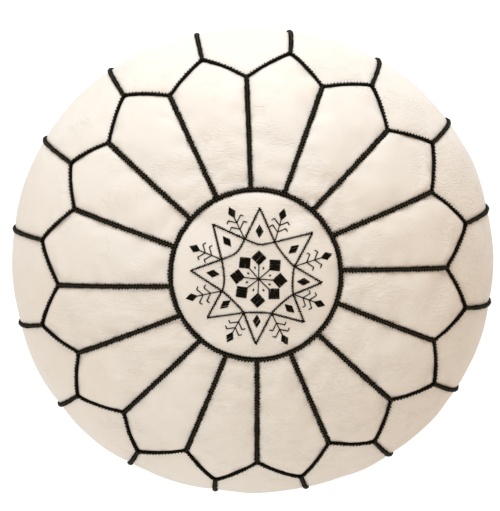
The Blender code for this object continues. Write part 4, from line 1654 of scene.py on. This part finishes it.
class POUF_OT_stamp_tab(bpy.types.Operator):
    """Makes the pull tab: a stamped plate with a slot round the bail, a raised rim and a dished end"""

    bl_idname = "pouf.stamp_tab"
    bl_label = "Pull tab"

    def execute(self, context):
        low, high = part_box("pull_tab")
        bar, middle, thickness = high.x, (low.z + high.z) / 2, high.z - low.z
        half, neck = high.y, high.y * 0.76
        reach = high.x - low.x
        outer = [(0, neck), (-0.0065, neck), (-0.0120, half * 0.82), (-reach + 0.0070, half)]
        outer += [(-reach + 0.0030 * (1 - math.sin(t)), half - 0.0026 * (1 - math.cos(t))) for t in np.linspace(0, math.pi / 2, 6)]
        outer = outer + [(x, -y) for x, y in reversed(outer)]
        window = [(-0.0009, -TAB_SLOT), (-0.0009, TAB_SLOT), (-0.0054, TAB_SLOT), (-0.0054, -TAB_SLOT)]
        plate = cut_plate("plate", [outer, window], thickness, 0.00018)
        rim = [rounded_outline((-reach + 0.0012, -reach + 0.0095), (half - 0.0012, half - 0.0014), 0.0014)]
        rim.append(rounded_outline((-reach + 0.0018, -reach + 0.0089), (half - 0.0018, half - 0.0020), 0.0010))
        raised = moved(cut_plate("rim", rim, thickness + 0.00016, 0.00007))
        tab = joined("brass_pull_tab", [plate, raised])
        moved(tab, x=bar, z=middle)
        only(tab)
        bpy.ops.object.shade_smooth_by_angle(angle=math.radians(35))
        ready(tab, "pull", "brass", "worn brass", "pull_tab")
        return {"FINISHED"}


# ---------------------------------------------------------------- stage


class POUF_OT_set_stage(bpy.types.Operator):
    """Lays the pale floor, hangs the soft lights and sets the camera above the pouf"""

    bl_idname = "pouf.set_stage"
    bl_label = "Stage"

    def execute(self, context):
        stage = context.scene.pouf_stage
        bpy.ops.object.select_all(action="DESELECT")
        bpy.ops.mesh.primitive_plane_add(size=12, location=(0, 0, FLOOR_GAP))
        floor = context.active_object
        floor.name = floor.data.name = "studio_floor"
        finish_with(floor, "studio paper")
        self.camera(context, stage)
        self.light("key_light", (0, 2.04, 0.99), 1.4, stage.key_power, (0.73, 0.875, 1.0))
        self.light("fill_light", (-1.0, -1.0, 1.86), 1.4, stage.fill_power, (0.60, 0.83, 1.0))
        self.sky(context, stage)
        context.scene.view_settings.view_transform = "Standard"
        return {"FINISHED"}

    def sky(self, context, stage):
        """A dim warm surround for the light, behind which the backdrop stays white."""
        world = bpy.data.worlds.new("studio white")
        world.use_nodes = True
        tree = world.node_tree
        surround = tree.nodes["Background"]
        surround.inputs["Color"].default_value = (1, 0.86, 0.715, 1)
        surround.inputs["Strength"].default_value = stage.sky
        backdrop = add_node(tree, "ShaderNodeBackground", None, Color=(1, 1, 1, 1), Strength=1.0)
        seen = tree.nodes.new("ShaderNodeLightPath").outputs["Is Camera Ray"]
        both = tree.nodes.new("ShaderNodeMixShader")
        for socket, source in zip(both.inputs, (seen, surround.outputs[0], backdrop.outputs[0])):
            tree.links.new(source, socket)
        tree.links.new(both.outputs[0], tree.nodes["World Output"].inputs["Surface"])
        context.scene.world = world

    def camera(self, context, stage):
        back = Vector((0, math.sin(stage.tilt), math.cos(stage.tilt)))
        up = Vector((0, math.cos(stage.tilt), -math.sin(stage.tilt)))
        target = Vector((0, 0, WAIST)) + Vector((CAMERA_ASIDE, 0, 0)) + up * CAMERA_UP
        bpy.ops.object.camera_add(location=target + back * stage.distance)
        camera = context.active_object
        camera.name = "camera"
        camera.rotation_euler = Matrix((Vector((1, 0, 0)), up, back)).transposed().to_euler()
        camera.data.sensor_width = 36
        camera.data.lens = camera.data.sensor_width * stage.distance / stage.view_height
        context.scene.camera = camera

    def light(self, name, place, size, power, tint):
        bpy.ops.object.light_add(type="AREA", location=place)
        lamp = bpy.context.active_object
        lamp.name = name
        lamp.data.shape = "DISK"
        lamp.rotation_euler = (Vector(place) - Vector((0, 0, WAIST))).to_track_quat("Z", "Y").to_euler()
        lamp.data.size = size
        lamp.data.energy = power
        lamp.data.color = tint


# ---------------------------------------------------------------- the add-on


SETTINGS = (
    ("pouf_form", PoufForm),
    ("pouf_stitching", PoufStitching),
    ("pouf_colours", PoufColours),
    ("pouf_stage", PoufStage),
)

STEPS = (
    POUF_OT_fill,
    POUF_OT_stuff_cover,
    POUF_OT_cut_petals,
    POUF_OT_cut_sides,
    POUF_OT_cut_medallion,
    POUF_OT_cut_base,
    POUF_OT_braid_top,
    POUF_OT_braid_sides,
    POUF_OT_embroider,
    POUF_OT_weave_tapes,
    POUF_OT_mould_teeth,
    POUF_OT_cast_slider,
    POUF_OT_stamp_tab,
    POUF_OT_set_stage,
)


class POUF_PT_panel(bpy.types.Panel):
    """Lists the pouf's settings and the steps that make it"""

    bl_idname = "POUF_PT_panel"
    bl_label = "Leather Pouf"
    bl_space_type = "VIEW_3D"
    bl_region_type = "UI"
    bl_category = "Pouf"

    def draw(self, context):
        for name, group in SETTINGS:
            box = self.layout.box()
            for setting in group.__annotations__:
                box.prop(getattr(context.scene, name), setting)
        for step in STEPS:
            self.layout.operator(step.bl_idname)


def register():
    for name, group in SETTINGS:
        bpy.utils.register_class(group)
        setattr(bpy.types.Scene, name, bpy.props.PointerProperty(type=group))
    for step in STEPS:
        bpy.utils.register_class(step)
    bpy.utils.register_class(POUF_PT_panel)


def unregister():
    bpy.utils.unregister_class(POUF_PT_panel)
    for step in reversed(STEPS):
        bpy.utils.unregister_class(step)
    for name, group in reversed(SETTINGS):
        delattr(bpy.types.Scene, name)
        bpy.utils.unregister_class(group)


def write_size():
    """Brings the view layer up to date."""
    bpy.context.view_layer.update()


def main():
    register()
    for step in STEPS:
        package, name = step.bl_idname.split(".")
        getattr(getattr(bpy.ops, package), name)()
    write_size()


if __name__ == "__main__":
    main()
